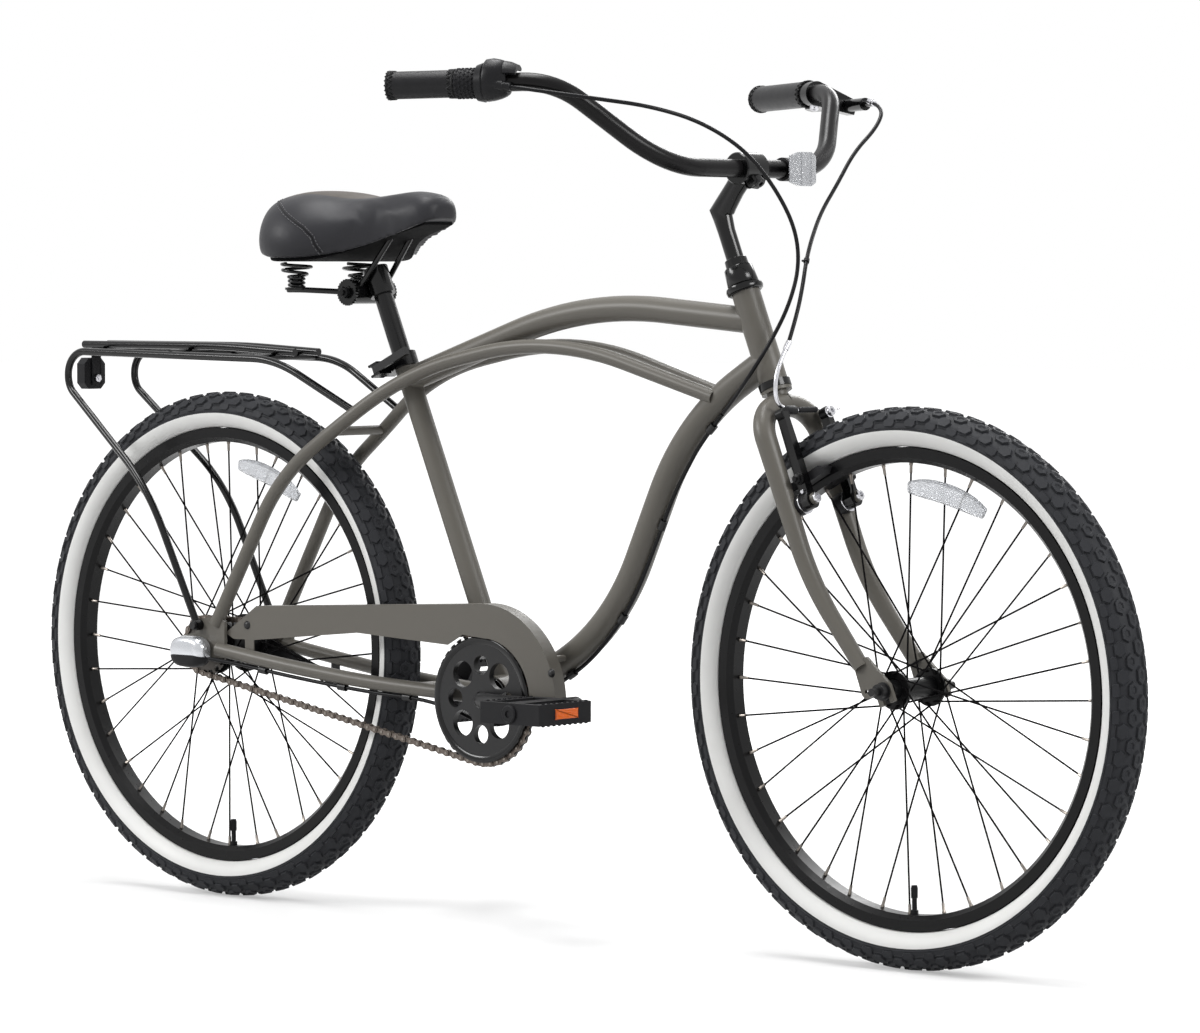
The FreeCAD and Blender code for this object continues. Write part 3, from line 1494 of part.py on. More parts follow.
ring_inside = S.chain_line - S.ring_thickness / 2
node(
    toothed_wheel(
        "chainring", S.chainring_teeth, ring_pitch_radius, S.ring_inner_radius,
        bracket + along(RIGHT, ring_inside), upper_normal),
    "chainring")
sprocket_gullet = turned_about(upper_normal, LEFT, -sprocket_phase)
node(
    toothed_wheel(
        "rear_sprocket", S.sprocket_teeth, sprocket_pitch_radius, rear_axle_bore,
        rear_axle + along(RIGHT, ring_inside), sprocket_gullet),
    "rear_sprocket")


def chain_loop(offset):
    """The chain's closed path, moved outward by an offset."""
    lower_normal = turned_about(chain_axis, LEFT, math.degrees(run_tilt) - QUARTER_TURN)
    ring = float(ring_pitch_radius + offset)
    sprocket = float(sprocket_pitch_radius + offset)
    ring_top = bracket + upper_normal * ring
    ring_foot = bracket + lower_normal * ring
    back_top = rear_axle + upper_normal * sprocket
    back_foot = rear_axle + lower_normal * sprocket
    edges = [
        Part.LineSegment(ring_top, back_top).toShape(),
        Part.Arc(back_top, rear_axle + chain_axis * sprocket, back_foot).toShape(),
        Part.LineSegment(back_foot, ring_foot).toShape(),
        Part.Arc(ring_foot, bracket - chain_axis * ring, ring_top).toShape(),
    ]
    return Part.Wire(edges)


def chain_band(outer, inner, start, width):
    """A band round both sprockets between two offsets from the chain's path."""
    face = Part.Face([chain_loop(outer), chain_loop(inner)])
    face.translate(along(RIGHT, start))
    return face.extrude(along(RIGHT, width))


half_chain = S.chain_height / 2
chain_inside = S.chain_line - S.chain_width / 2
inner_plate = chain_band(half_chain, -half_chain, chain_inside, S.chain_plate)
outer_plate = chain_band(half_chain, -half_chain, chain_inside + S.chain_width - S.chain_plate, S.chain_plate)
chain_back = chain_band(half_chain, half_chain - S.chain_web, chain_inside, S.chain_width)
node(formed("chain", inner_plate.fuse([outer_plate, chain_back]).removeSplitter()), "chain")


# Guard disc, one-piece crank and pedals

spider_outline = [
    (S.crank_radius + S.fit_gap, ZERO),
    (S.ring_inner_radius - S.fit_gap, ZERO),
    (S.ring_inner_radius - S.fit_gap, S.ring_thickness),
    (S.disc_radius - S.disc_rim, S.ring_thickness),
    (S.disc_radius - S.disc_rim, S.ring_thickness + S.disc_gap),
    (S.disc_radius, S.ring_thickness + S.disc_gap),
    (S.disc_radius, S.ring_thickness + S.disc_gap + S.disc_thickness),
    (S.crank_radius + S.fit_gap, S.ring_thickness + S.disc_gap + S.disc_thickness),
]
disc_base = bracket + along(RIGHT, ring_inside)
disc_solid = turned("disc_solid", spider_outline, disc_base, RIGHT)
disc_depth = S.ring_thickness + S.disc_gap + S.disc_thickness + S.cut_overrun * 2
disc_holes = []
hole_count = int(S.disc_holes.value)
for number in range(hole_count):
    hole_radius = S.disc_small_hole if number % 2 == 0 else S.disc_large_hole
    hole_arm = turned_about(FORWARD, LEFT, FULL_TURN / hole_count * number)
    hole_base = disc_base + along(hole_arm, S.disc_hole_circle) + along(LEFT, S.cut_overrun)
    disc_holes.append(cylinder(f"disc_hole_{number}", hole_radius, disc_depth, hole_base, RIGHT))


def crank_at(reach, side):
    """A point in the plane of the crank arms: reach forward, side to the right."""
    return bracket + along(FORWARD, reach) + along(RIGHT, side)


right_arm_points = [
    crank_at(S.crank_length, S.crank_side),
    crank_at(S.crank_knee, S.crank_side),
    crank_at(0, S.crank_elbow),
]
left_arm_points = [
    crank_at(-S.crank_length, -S.crank_side),
    crank_at(-S.crank_knee, -S.crank_side),
    crank_at(0, -S.crank_elbow),
]
crank_wire = rounded([*right_arm_points, *reversed(left_arm_points)], CRANK_BEND_SHARES)
crank_rod = swept("crank_rod", crank_wire, S.crank_radius)
node(cut("guard_disc", disc_solid, *disc_holes, crank_rod), "guard_disc")
eye_inside = S.crank_side - S.crank_eye_width / 2
right_eye = cylinder(
    "right_eye", S.crank_eye_radius, S.crank_eye_width, crank_at(S.crank_length, eye_inside), RIGHT)
left_eye = cylinder(
    "left_eye", S.crank_eye_radius, S.crank_eye_width, crank_at(-S.crank_length, -eye_inside), LEFT)
crank_solid = fuse("crank_solid", crank_rod, right_eye, left_eye)
eye_bore = S.pedal_axle_radius + S.fit_gap
bore_length = S.crank_eye_width + S.cut_overrun * 2
right_eye_bore = cylinder(
    "right_eye_bore", eye_bore, bore_length, crank_at(S.crank_length, eye_inside - S.cut_overrun), RIGHT)
left_eye_bore = cylinder(
    "left_eye_bore", eye_bore, bore_length, crank_at(-S.crank_length, S.cut_overrun - eye_inside), LEFT)
crank_forging = cut("crank_forging", crank_solid, right_eye_bore, left_eye_bore)

pedal_inside = S.crank_side + S.crank_eye_width / 2 + S.side_gap
axle_length = S.crank_eye_width + S.side_gap + S.pedal_width - S.pedal_grip
right_pedal_axle = cylinder(
    "right_pedal_axle", S.pedal_axle_radius, axle_length, crank_at(S.crank_length, eye_inside), RIGHT)
left_pedal_axle = cylinder(
    "left_pedal_axle", S.pedal_axle_radius, axle_length, crank_at(-S.crank_length, -eye_inside), LEFT)
node(group("crank_arms", crank_forging, right_pedal_axle, left_pedal_axle), "crank_arms")


def pedal(name, centre, outward, forward):
    """A platform pedal: two end plates, two toothed rails and a core round the axle."""
    half_length = S.pedal_length / 2
    half_pedal_height = S.pedal_height / 2
    rail = S.pedal_rail
    core_half = S.pedal_core_radius
    frame_outline = [
        (-half_length, ZERO),
        (rail - half_length, -S.pedal_grip),
        (half_length - rail, -S.pedal_grip),
        (half_length, ZERO),
        (half_length, S.pedal_width),
        (-half_length, S.pedal_width),
    ]
    inner_end = S.pedal_width - S.pedal_end
    down = forward.cross(outward)
    base = centre - down * float(half_pedal_height)
    frame_plate = plate(name + "_frame", frame_outline, S.pedal_height, base, forward, down)
    cuts = []
    for side in (-1, 1):
        near = core_half
        far = half_length - rail
        window = [
            (near * side, S.pedal_end),
            (far * side, S.pedal_end),
            (far * side, inner_end),
            (near * side, inner_end),
        ]
        if side < 0:
            window = window[::-1]
        tool_base = base - down * float(S.cut_overrun)
        depth = S.pedal_height + S.cut_overrun * 2
        cuts.append(plate(f"{name}_window_{side + 1}", window, depth, tool_base, forward, down))
    cuts.append(cylinder(
        name + "_bore", S.pedal_axle_radius + S.running_gap, S.pedal_width,
        centre - outward * float(S.pedal_grip + S.cut_overrun), outward))
    return cut(name, frame_plate, *cuts)


right_pedal_base = crank_at(S.crank_length, pedal_inside + S.pedal_grip)
left_pedal_base = crank_at(-S.crank_length, -pedal_inside - S.pedal_grip)
node(pedal("right_pedal", right_pedal_base, RIGHT, FORWARD), "right_pedal")
left_pedal_forward = turned_about(FORWARD, LEFT, -float(S.left_pedal_tilt))
node(pedal("left_pedal", left_pedal_base, LEFT, left_pedal_forward), "left_pedal")


# Chain guard

guard_base = bracket + along(RIGHT, S.guard_side)
axle_x = as_dim(rear_axle.x - bracket.x)
axle_z = S.bracket_drop
outer = S.guard_outer_radius
inner = S.guard_inner_radius
lead = S.guard_lead
guard_top = (axle_x + S.guard_tail_top_forward, axle_z + S.guard_tail_top_rise)
foot_z = axle_z + S.guard_tail_foot_rise
tab_x = axle_x + S.guard_tab_forward
tab_z = axle_z - S.guard_tab_drop
guard_outline = [
    (lead + inner, ZERO, inner, -1),
    (lead + outer, ZERO),
    (lead, outer, outer, 1),
    guard_top,
    (axle_x + S.guard_tail_forward, axle_z + S.guard_tail_rise),
    (axle_x + S.guard_tail_foot_forward, foot_z),
    (tab_x, foot_z),
    (tab_x, tab_z),
    (tab_x + S.guard_tab_width, tab_z),
    (tab_x + S.guard_tab_width, foot_z),
    (axle_x * GUARD_BELLY_SHARE, ring_pitch_radius - S.guard_belly_drop),
    (-inner * GUARD_NOTCH_SHARES[1], ring_pitch_radius - S.guard_notch_drop),
    (-inner * GUARD_NOTCH_SHARES[0], ring_pitch_radius),
    (lead, inner),
]
guard_plate = plate("guard_plate", guard_outline, S.guard_thickness, guard_base, FORWARD, RIGHT)
lip = S.guard_thickness
lip_outline = [
    (lead + outer - lip, ZERO, outer - lip, -1),
    (lead + outer, ZERO),
    (lead, outer, outer, 1),
    guard_top,
    (guard_top[0], guard_top[1] - lip),
    (lead, outer - lip),
]
guard_lip = plate(
    "guard_lip", lip_outline, S.guard_depth, guard_base + along(LEFT, S.guard_depth), FORWARD, RIGHT)
guard_shell = fuse("guard_shell", guard_plate, guard_lip)
node(cut("chain_guard", guard_shell, stay_rod), "chain_guard")


# Seat clamp with its quick lever

seat_forward = Vector(math.cos(seat_angle), 0, math.sin(seat_angle))
collar_base = seat_top - along(seat_up, S.collar_height)
collar_ring = cylinder(
    "collar_ring", S.seat_tube_radius + S.collar_wall, S.collar_height, collar_base, seat_up)
collar_middle = seat_top - along(seat_up, S.collar_height / 2)


def seat_block(name, length, width, height, back, side):
    """A block square to the seat tube: its rear end lies back from the axis, its right face to the side."""
    item = doc.addObject("Part::Box", name)
    bind(item, Length=length, Width=width, Height=height)
    corner = collar_middle - along(seat_forward, back) + along(RIGHT, side) - along(seat_up, height / 2)
    item.Placement = Placement(corner, Rotation(seat_forward, LEFT, seat_up, "ZXY"))
    return item


ear_block = seat_block(
    "ear_block", S.collar_ear_reach, S.collar_ear_width, S.collar_ear_height, S.collar_ear_reach,
    S.collar_ear_width / 2)
clevis_end = S.clevis_side + S.quick_lever_eye
clevis_block = seat_block(
    "clevis_block", S.clevis_length, S.clevis_width, S.clevis_height, S.collar_ear_reach, clevis_end)
slot_width = S.quick_lever_eye * 2 + S.side_gap + S.cut_overrun
clevis_slot = seat_block(
    "clevis_slot", S.clevis_length + S.cut_overrun * 2, slot_width, S.clevis_slot,
    S.collar_ear_reach + S.cut_overrun, clevis_end + S.cut_overrun)
pin_back = S.collar_ear_reach - S.clevis_length / 2
clevis_pivot = collar_middle - along(seat_forward, pin_back) + along(RIGHT, S.clevis_side)
clevis_pin = cylinder(
    "clevis_pin", S.clevis_pin_radius, S.clevis_height,
    clevis_pivot - along(seat_up, S.clevis_height / 2), seat_up)
collar_bore = cylinder(
    "collar_bore", S.seat_tube_radius + S.fit_gap, S.collar_height + S.cut_overrun * 2,
    collar_base - along(seat_up, S.cut_overrun), seat_up)
collar_solid = fuse("collar_solid", collar_ring, ear_block, clevis_block)
collar_cut = cut("collar_cut", collar_solid, clevis_slot, collar_bore)
node(fuse("seat_clamp", collar_cut, clevis_pin), "seat_clamp")

lever_eye = S.quick_lever_eye
half_blade = S.quick_lever_thickness / 2
quick_outline = [
    (lever_eye, ZERO, lever_eye, 1),
    (lever_eye, half_blade),
    (S.quick_lever_length, half_blade),
    (S.quick_lever_length, S.quick_lever_thickness + half_blade),
    (ZERO, lever_eye),
    (-lever_eye, ZERO, lever_eye, 1),
    (ZERO, -lever_eye, lever_eye, 1),
]
quick_lever = plate(
    "seat_clamp_lever", quick_outline, S.quick_lever_width,
    clevis_pivot + along(seat_up, S.quick_lever_width / 2), seat_forward, -seat_up,
    [(ZERO, ZERO, S.clevis_pin_radius + S.running_gap)])
node(quick_lever, "seat_clamp_lever")


# Seatpost and saddle clamp

post_radius = seat_bore - S.running_gap
post_length = S.seatpost_insert + S.seatpost_reach
post_base = seat_top - along(seat_up, S.seatpost_insert)
node(
    sleeve("seatpost", post_radius, post_radius - S.seatpost_wall, post_length, post_base, seat_up),
    "seatpost")

post_top = seat_top + along(seat_up, S.seatpost_reach)
clamp_foot = post_top - along(seat_up, S.saddle_clamp_height)
clamp_ring = cylinder(
    "clamp_ring", S.saddle_clamp_radius, S.saddle_clamp_height + S.fit_gap, clamp_foot, seat_up)
clamp_bore = cylinder(
    "clamp_bore", post_radius + S.fit_gap, S.saddle_clamp_height + S.cut_overrun * 2,
    clamp_foot - along(seat_up, S.cut_overrun), seat_up)
saddle_pivot = post_top - along(seat_forward, S.saddle_pivot_back) - along(seat_up, S.saddle_pivot_drop)
pivot_base = saddle_pivot + along(RIGHT, S.saddle_pivot_width / 2)
pivot_barrel = cylinder("pivot_barrel", S.saddle_pivot_radius, S.saddle_pivot_width, pivot_base, LEFT)
pivot_bolt = cylinder(
    "pivot_bolt", S.saddle_bolt_radius, S.saddle_pivot_width + S.saddle_bolt_head * 2,
    pivot_base + along(RIGHT, S.saddle_bolt_head), LEFT)
clamp_solid = fuse("clamp_solid", clamp_ring, pivot_barrel, pivot_bolt)


# Saddle cushion and base

saddle_nose = post_top.x + float(S.saddle_nose_forward)
saddle_low = seat_top.z + float(S.saddle_rise)


def saddle_point(back_share, side_share, rise_share):
    """A point on the saddle, in shares of its length, half width and height."""
    return Vector(
        saddle_nose - float(S.saddle_length) * back_share,
        float(S.saddle_width / 2) * side_share,
        saddle_low + float(S.saddle_height) * rise_share)


def cushion_section(back, half, low, high):
    """A cross-section: a flat foot, sides drawn in below the waist, round shoulders and a low crown."""
    waist = low + (high - low) * SADDLE_WAIST_SHARE
    shoulder = low + (high - low) * SADDLE_SHOULDER_SHARES[1]
    crown = low + (high - low) * SADDLE_CROWN_SHARES[1]
    foot_half = half * SADDLE_FOOT_SHARE
    shoulder_half = half * SADDLE_SHOULDER_SHARES[0]
    crown_half = half * SADDLE_CROWN_SHARES[0]
    foot = [saddle_point(back, side * foot_half, low) for side in (-1, 1)]
    waists = [saddle_point(back, side * half, waist) for side in (-1, 1)]
    shoulders = [saddle_point(back, side * shoulder_half, shoulder) for side in (-1, 1)]
    crowns = [saddle_point(back, side * crown_half, crown) for side in (-1, 1)]
    edges = [
        Part.LineSegment(foot[0], foot[1]),
        Part.LineSegment(foot[1], waists[1]),
        Part.Arc(waists[1], shoulders[1], crowns[1]),
        Part.Arc(crowns[1], saddle_point(back, 0, high), crowns[0]),
        Part.Arc(crowns[0], shoulders[0], waists[0]),
        Part.LineSegment(waists[0], foot[0]),
    ]
    return Part.Wire([edge.toShape() for edge in edges])


def base_section(back, half, low, thickness):
    """A flat strip whose underside lies one base thickness below the cushion's foot."""
    foot_half = half * SADDLE_FOOT_SHARE * SADDLE_FOOT_SHARE
    bottom = low - float((S.fit_gap + S.saddle_base_thickness) / S.saddle_height)
    top = bottom + float(thickness / S.saddle_height)
    corners = [
        saddle_point(back, -foot_half, bottom),
        saddle_point(back, foot_half, bottom),
        saddle_point(back, foot_half, top),
        saddle_point(back, -foot_half, top),
    ]
    return Part.makePolygon([*corners, corners[0]])


cushion_wires = [cushion_section(*shares) for shares in SADDLE_STATION_SHARES]


def base_loft(name, thickness):
    wires = [base_section(*shares[:3], thickness) for shares in SADDLE_STATION_SHARES[1:-1]]
    return formed(name, Part.makeLoft(wires, True))


cushion = node(formed("saddle_cushion", Part.makeLoft(cushion_wires, True)), "saddle_cushion")
node(cut("saddle_base", base_loft("base_slab", S.saddle_base_thickness), cushion), "saddle_base")


# Saddle springs

wire_radius = float(S.spring_wire_radius)
spring_axis = saddle_point(SADDLE_SPRING_SHARES[0], 0, SADDLE_SPRING_SHARES[2]) + along(RIGHT, S.spring_side)
base_drop = S.fit_gap + S.saddle_base_thickness
spring_top = spring_axis - along(UP, base_drop + S.spring_seat_gap + S.spring_wire_radius)
spring_drop = float(S.spring_height) - 2 * wire_radius


def coil_point(share):
    angle = math.pi / 2 * float(S.spring_quarter_turns) * share
    radius = float(S.spring_top_radius + (S.spring_foot_radius - S.spring_top_radius) * share)
    return spring_top + Vector(radius * math.cos(angle), radius * math.sin(angle), -spring_drop * share)


def coil_heading(share):
    return (coil_point(share + COIL_STEP_SHARE) - coil_point(share - COIL_STEP_SHARE)).normalize()


def arc_leaving(start, heading, end):
    """The middle of an arc that leaves a point along a heading and ends at another point."""
    chord = end - start
    angle = chord.getAngle(heading)
    chord_heading = Vector(chord).normalize()
    bulge = (heading - chord_heading * heading.dot(chord_heading)).normalize()
    return (start + end) / 2 + bulge * (chord.Length / 2 * math.tan(angle / 2))


def biarc(start, heading, end, end_heading):
    """Two arcs that leave one point and reach another along given headings."""
    span = end - start
    spread = 2 * (1 - heading.dot(end_heading))
    lean = span.dot(heading + end_heading)
    reach = (math.sqrt(lean ** 2 + spread * span.dot(span)) - lean) / spread
    middle = (start + end + (heading - end_heading) * reach) / 2
    first = Part.Arc(start, arc_leaving(start, heading, middle), middle)
    last = Part.Arc(middle, arc_leaving(end, -end_heading, middle), end)
    return [first.toShape(), last.toShape()]


def coil_wire():
    """A cone-shaped coil of quarter turns with a straight end at the top and the foot."""
    quarters = int(S.spring_quarter_turns.value)
    tail_length = 2 * wire_radius
    top_end = coil_point(0) - coil_heading(0) * tail_length
    foot_end = coil_point(1) + coil_heading(1) * tail_length
    edges = [Part.LineSegment(top_end, coil_point(0)).toShape()]
    for number in range(quarters):
        start = number / quarters
        end = (number + 1) / quarters
        edges += biarc(coil_point(start), coil_heading(start), coil_point(end), coil_heading(end))
    edges.append(Part.LineSegment(coil_point(1), foot_end).toShape())
    return Part.Wire(edges)


def own_gap(wire):
    """The least gap between turns of a coil, measured on points along it."""
    points = wire.discretize(Distance=wire_radius)
    apart = int(math.pi * float(S.spring_foot_radius) / wire_radius)
    nearest = min(
        first.distanceToPoint(second)
        for number, first in enumerate(points) for second in points[number + apart:])
    return nearest - 2 * wire_radius


spring_wire = coil_wire()
spring_start = spring_wire.OrderedEdges[0]
spring_shell = Part.BRepOffsetAPI.MakePipeShell(spring_wire)
spring_ring = Part.Circle(
    spring_start.valueAt(spring_start.FirstParameter), spring_start.tangentAt(0), wire_radius)
spring_shell.add(Part.Wire(spring_ring.toShape()))
spring_shell.build()
spring_shell.makeSolid()
right_spring = formed("right_spring", spring_shell.shape())
left_spring = mirrored("left_spring", right_spring)
spring_gap = own_gap(spring_wire)
print(f"saddle spring: least gap to itself {spring_gap:.2f}, section times length "
      f"{math.pi * wire_radius ** 2 * spring_wire.Length:.0f}, volume {right_spring.Shape.Volume:.0f}")
if spring_gap < float(S.spring_gap_limit):
    raise RuntimeError("the saddle spring's turns touch")
node(group("saddle_springs", right_spring, left_spring), "saddle_springs")


# Saddle rails, with the plate under each spring

spring_foot = spring_top - along(UP, spring_drop + wire_radius + float(S.spring_seat_gap))
rail_height = spring_foot.z - float(S.spring_plate_height)
rail_points = [
    Vector(saddle_point(back, 0, 0).x, spring_foot.y, rail_height) for back in SADDLE_RAIL_BACK_SHARES]
rail_points.append(saddle_pivot + along(RIGHT, S.saddle_pivot_width * SADDLE_RAIL_PIVOT_SHARE))
rail_points += [saddle_point(back, -side, rise) for back, side, rise in SADDLE_RAIL_SHARES]
rail_wire = rounded(rail_points, SADDLE_RAIL_BEND_SHARES)
rail_rod = swept("rail_rod", rail_wire, S.rail_radius)
spring_plate = cylinder(
    "spring_plate", S.spring_plate_radius, S.spring_plate_height,
    spring_foot - along(UP, S.spring_plate_height), UP)
rail_solid = fuse("rail_solid", rail_rod, spring_plate)
right_rail = cut("right_rail", rail_solid, base_loft("rail_stop", S.saddle_height))
left_rail = mirrored("left_rail", right_rail)
saddle_clamp = cut("saddle_clamp", clamp_solid, clamp_bore, right_rail, left_rail)
node(group("saddle_rails", right_rail, left_rail, saddle_clamp), "saddle_rails")


# Rack

rack_front = side_corners[1] + (side_corners[2] - side_corners[1]) * RACK_FOOT_SHARE
rack_tail_x = rear_axle.x - float(S.rack_tail_back)
rack_eyelet = rear_axle + at(
    S.eyelet_forward, -(half_rear_gap + S.dropout_thickness + S.side_gap + S.rack_tube_radius), S.eyelet_rise)
rack_points = [
    rack_front,
    at(rack_front.x - float(S.rack_front_back), -S.rack_front_half_width, S.rack_height - S.rack_front_sag),
    at(rack_tail_x, -S.rack_half_width, S.rack_height),
    at(rack_tail_x, -S.rack_half_width, S.rack_height - S.rack_hook_drop),
    rear_axle + at(-S.rack_strut_back, -S.rack_strut_side, S.rack_strut_rise),
    rack_eyelet,
]
rack_wire = rounded(rack_points, RACK_BEND_SHARES)
rail_tube = swept("rack_rail_rod", rack_wire, S.rack_tube_radius)
eye_half = S.rack_tube_radius
rack_eye = cylinder("rack_eye", S.rack_eye_radius, eye_half * 2, rack_eyelet + along(RIGHT, eye_half), LEFT)
eye_hole = cylinder(
    "rack_eye_hole", S.eyelet_hole_radius, (eye_half + S.cut_overrun) * 2,
    rack_eyelet + along(RIGHT, eye_half + S.cut_overrun), LEFT)
rack_side = cut("rack_side", fuse("rack_side_solid", rail_tube, rack_eye), eye_hole, side_rod)
far_rack_side = mirrored("far_rack_side", rack_side)
node(group("rack_rails", rack_side, far_rack_side), "rack_rails")

deck_z = S.rack_height + S.deck_lift
deck_kink = at(rack_tail_x + float(S.deck_run), -S.deck_half_width, deck_z)
deck_front = at(rack_points[1].x, -S.deck_half_width, S.rack_height - S.rack_front_sag + S.deck_lift)
deck_rear = at(rack_tail_x - float(S.deck_tail), -S.deck_half_width, deck_z)
deck_wire = rounded([deck_rear, deck_kink, deck_front], DECK_BEND_SHARES)
deck_bar = swept("deck_bar", deck_wire, S.rack_tube_radius)
far_deck_bar = mirrored("far_deck_bar", deck_bar)


def cross_bar_point(share):
    """Where a cross bar leaves the right rail, at the height that its deck bars need."""
    point = rack_points[2] + (rack_points[1] - rack_points[2]) * share
    slope_share = max(0, (point.x - deck_kink.x) / (deck_front.x - deck_kink.x))
    point.z = deck_kink.z + (deck_front.z - deck_kink.z) * slope_share - float(S.deck_lift)
    return point


cross_bars = []
for number, share in enumerate(CROSS_BAR_SHARES):
    start = cross_bar_point(share)
    cross_bars.append(cylinder(f"cross_bar_{number}", S.rack_bar_radius, as_dim(-2 * start.y), start, LEFT))
deck_solid = fuse("deck_solid", deck_bar, far_deck_bar, *cross_bars)
node(cut("rack_deck", deck_solid, rail_tube, mirrored("far_rail_tube", rail_tube)), "rack_deck")

hanger_x = cross_bar_point(CROSS_BAR_SHARES[0]).x - float(S.rack_bar_radius) - float(S.fit_gap)
reflector_x = rack_tail_x - float(S.tail_reflector_back)


def tail_block(name, length, width, height, x_end, z_top):
    """A block across the middle of the rack, set by its rear end and its top."""
    item = doc.addObject("Part::Box", name)
    bind(item, Length=length, Width=width, Height=height)
    item.Placement = Placement(at(x_end, -width / 2, z_top - float(height)), Rotation())
    return item


reflector_top = float(S.rack_height - S.tail_reflector_drop)
hanger_drop = S.tail_reflector_drop + S.tail_reflector_height / 2
hanger_strap = tail_block(
    "hanger_strap", S.tail_hanger_thickness, S.tail_hanger_width, hanger_drop,
    hanger_x - float(S.tail_hanger_thickness), float(S.rack_height))
bridge_length = as_dim(hanger_x - reflector_x)
hanger_foot = tail_block(
    "hanger_foot", bridge_length, S.tail_hanger_width, S.tail_hanger_thickness, reflector_x,
    float(S.rack_height) - float(hanger_drop) + float(S.tail_hanger_thickness))
tail_lamp = tail_block(
    "tail_lamp", S.tail_reflector_depth, S.tail_reflector_width, S.tail_reflector_height,
    reflector_x - float(S.tail_reflector_depth), reflector_top)
node(fuse("rear_reflector", hanger_strap, hanger_foot, tail_lamp), "rear_reflector")


# Shift joint over the right end of the rear axle

box_start = half_rear_gap + S.dropout_thickness + S.washer_height + S.fit_gap
box_depth = S.nut_height + S.axle_overhang + S.shift_box_cap
half_box = S.shift_box_length / 2
half_box_height = S.shift_box_height / 2
corner = S.shift_box_corner
box_outline = [
    (-half_box, corner - half_box_height),
    (corner - half_box, -half_box_height),
    (half_box - corner, -half_box_height),
    (half_box, corner - half_box_height),
    (half_box, half_box_height - corner),
    (half_box - corner, half_box_height),
    (corner - half_box, half_box_height),
    (-half_box, half_box_height - corner),
]
box_base = rear_axle + at(S.shift_box_forward, -box_start, -S.shift_box_drop)
box_solid = plate("shift_box_solid", box_outline, box_depth, box_base, FORWARD, RIGHT)
nut_room = cylinder(
    "nut_room", S.nut_radius + S.fit_gap, S.nut_height + S.axle_overhang + S.fit_gap * 2 + S.cut_overrun,
    rear_axle + along(LEFT, S.cut_overrun - box_start), RIGHT)
node(cut("shift_joint", box_solid, nut_room), "shift_joint")


# Coaster brake arm on the left

coaster_base = rear_axle + along(LEFT, S.coaster_side + S.coaster_thickness)
coaster_eye = S.coaster_eye_radius
coaster_half = S.coaster_half_width
coaster_outline = [
    (ZERO, coaster_eye),
    (-coaster_eye, ZERO, coaster_eye, 1),
    (ZERO, -coaster_eye, coaster_eye, 1),
    (S.coaster_reach, -S.coaster_drop - coaster_half),
    (S.coaster_reach + coaster_half, -S.coaster_drop),
    (S.coaster_reach, coaster_half - S.coaster_drop),
]
coaster_plate = plate(
    "coaster_plate", coaster_outline, S.coaster_thickness, coaster_base, FORWARD, RIGHT,
    [(ZERO, ZERO, S.cone_radius + S.fit_gap), (S.coaster_reach, -S.coaster_drop, S.bolt_radius + S.fit_gap)])
strap_point = coaster_base + at(S.coaster_reach, 0, -S.coaster_drop)
stay_near = stay_wire.distToShape(Part.Vertex(Vector(strap_point.x, -strap_point.y, strap_point.z)))[1][0][0]
strap_rise = as_dim(stay_near.z - strap_point.z)
half_strap = S.strap_width / 2
strap_outline = [
    (-half_strap, -coaster_half),
    (half_strap, -coaster_half),
    (half_strap, strap_rise),
    (-half_strap, strap_rise),
]
lug_base = strap_point + along(LEFT, S.fit_gap)
lug_plate = plate(
    "strap_lug", strap_outline, S.coaster_thickness, lug_base + along(LEFT, S.coaster_thickness),
    FORWARD, RIGHT, [(ZERO, ZERO, S.bolt_radius + S.fit_gap)])
left_stay_rod = mirrored("left_stay_rod", stay_rod)
strap_lug = cut("strap_lug_cut", lug_plate, left_stay_rod)
strap_bolt = bolt(
    "strap_bolt", S.coaster_thickness * 2 + S.fit_gap * 3,
    strap_point - along(LEFT, S.coaster_thickness + S.fit_gap), LEFT)
node(group("coaster_arm", coaster_plate, strap_lug, strap_bolt), "coaster_arm")


# Cables and the fittings that hold them and the rack

brake_cord = cord("brake_cord", BRAKE_CABLE_ROUTE, S.cable_radius)[0]
noodle, noodle_wire = cord("noodle", NOODLE_ROUTE, S.noodle_radius)
boot_start = noodle_wire.OrderedVertexes[-1].Point
boot_length = S.boss_side - S.arm_half_width - S.boot_clearance - as_dim(boot_start.y)
boot = cylinder("brake_boot", S.boot_radius, boot_length, boot_start, LEFT)
node(group("brake_cable", brake_cord, noodle, boot), "brake_cable")
node(cord("shift_cable_loop", SHIFT_LOOP_ROUTE, S.cable_radius)[0], "shift_cable_loop")
node(cord("shift_cable", SHIFT_FRAME_ROUTE, S.cable_radius)[0], "shift_cable")


def cable_guides(name, wire, rod, distance, shares):
    """Rings under a tube that hold the cable, each at its share of the tube's length."""
    guides = []
    steps = wire.discretize(Number=GUIDE_STEP_COUNT)
    bore = S.cable_radius + S.guide_gap
    for number, (along_share, side_share) in enumerate(shares):
        index = round(along_share * GUIDE_STEP_COUNT)
        heading = (steps[index + 1] - steps[index - 1]).normalize()
        below = heading.cross(LEFT).normalize()
        outward = below * math.sqrt(1 - side_share ** 2) + RIGHT * side_share
        middle = steps[index] + along(outward, distance)
        ring = sleeve(
            f"{name}_{number}", bore + S.guide_wall, bore, S.guide_length,
            middle - along(heading, S.guide_length / 2), heading)
        guides.append(cut(f"{name}_{number}_seated", ring, rod))
    return guides


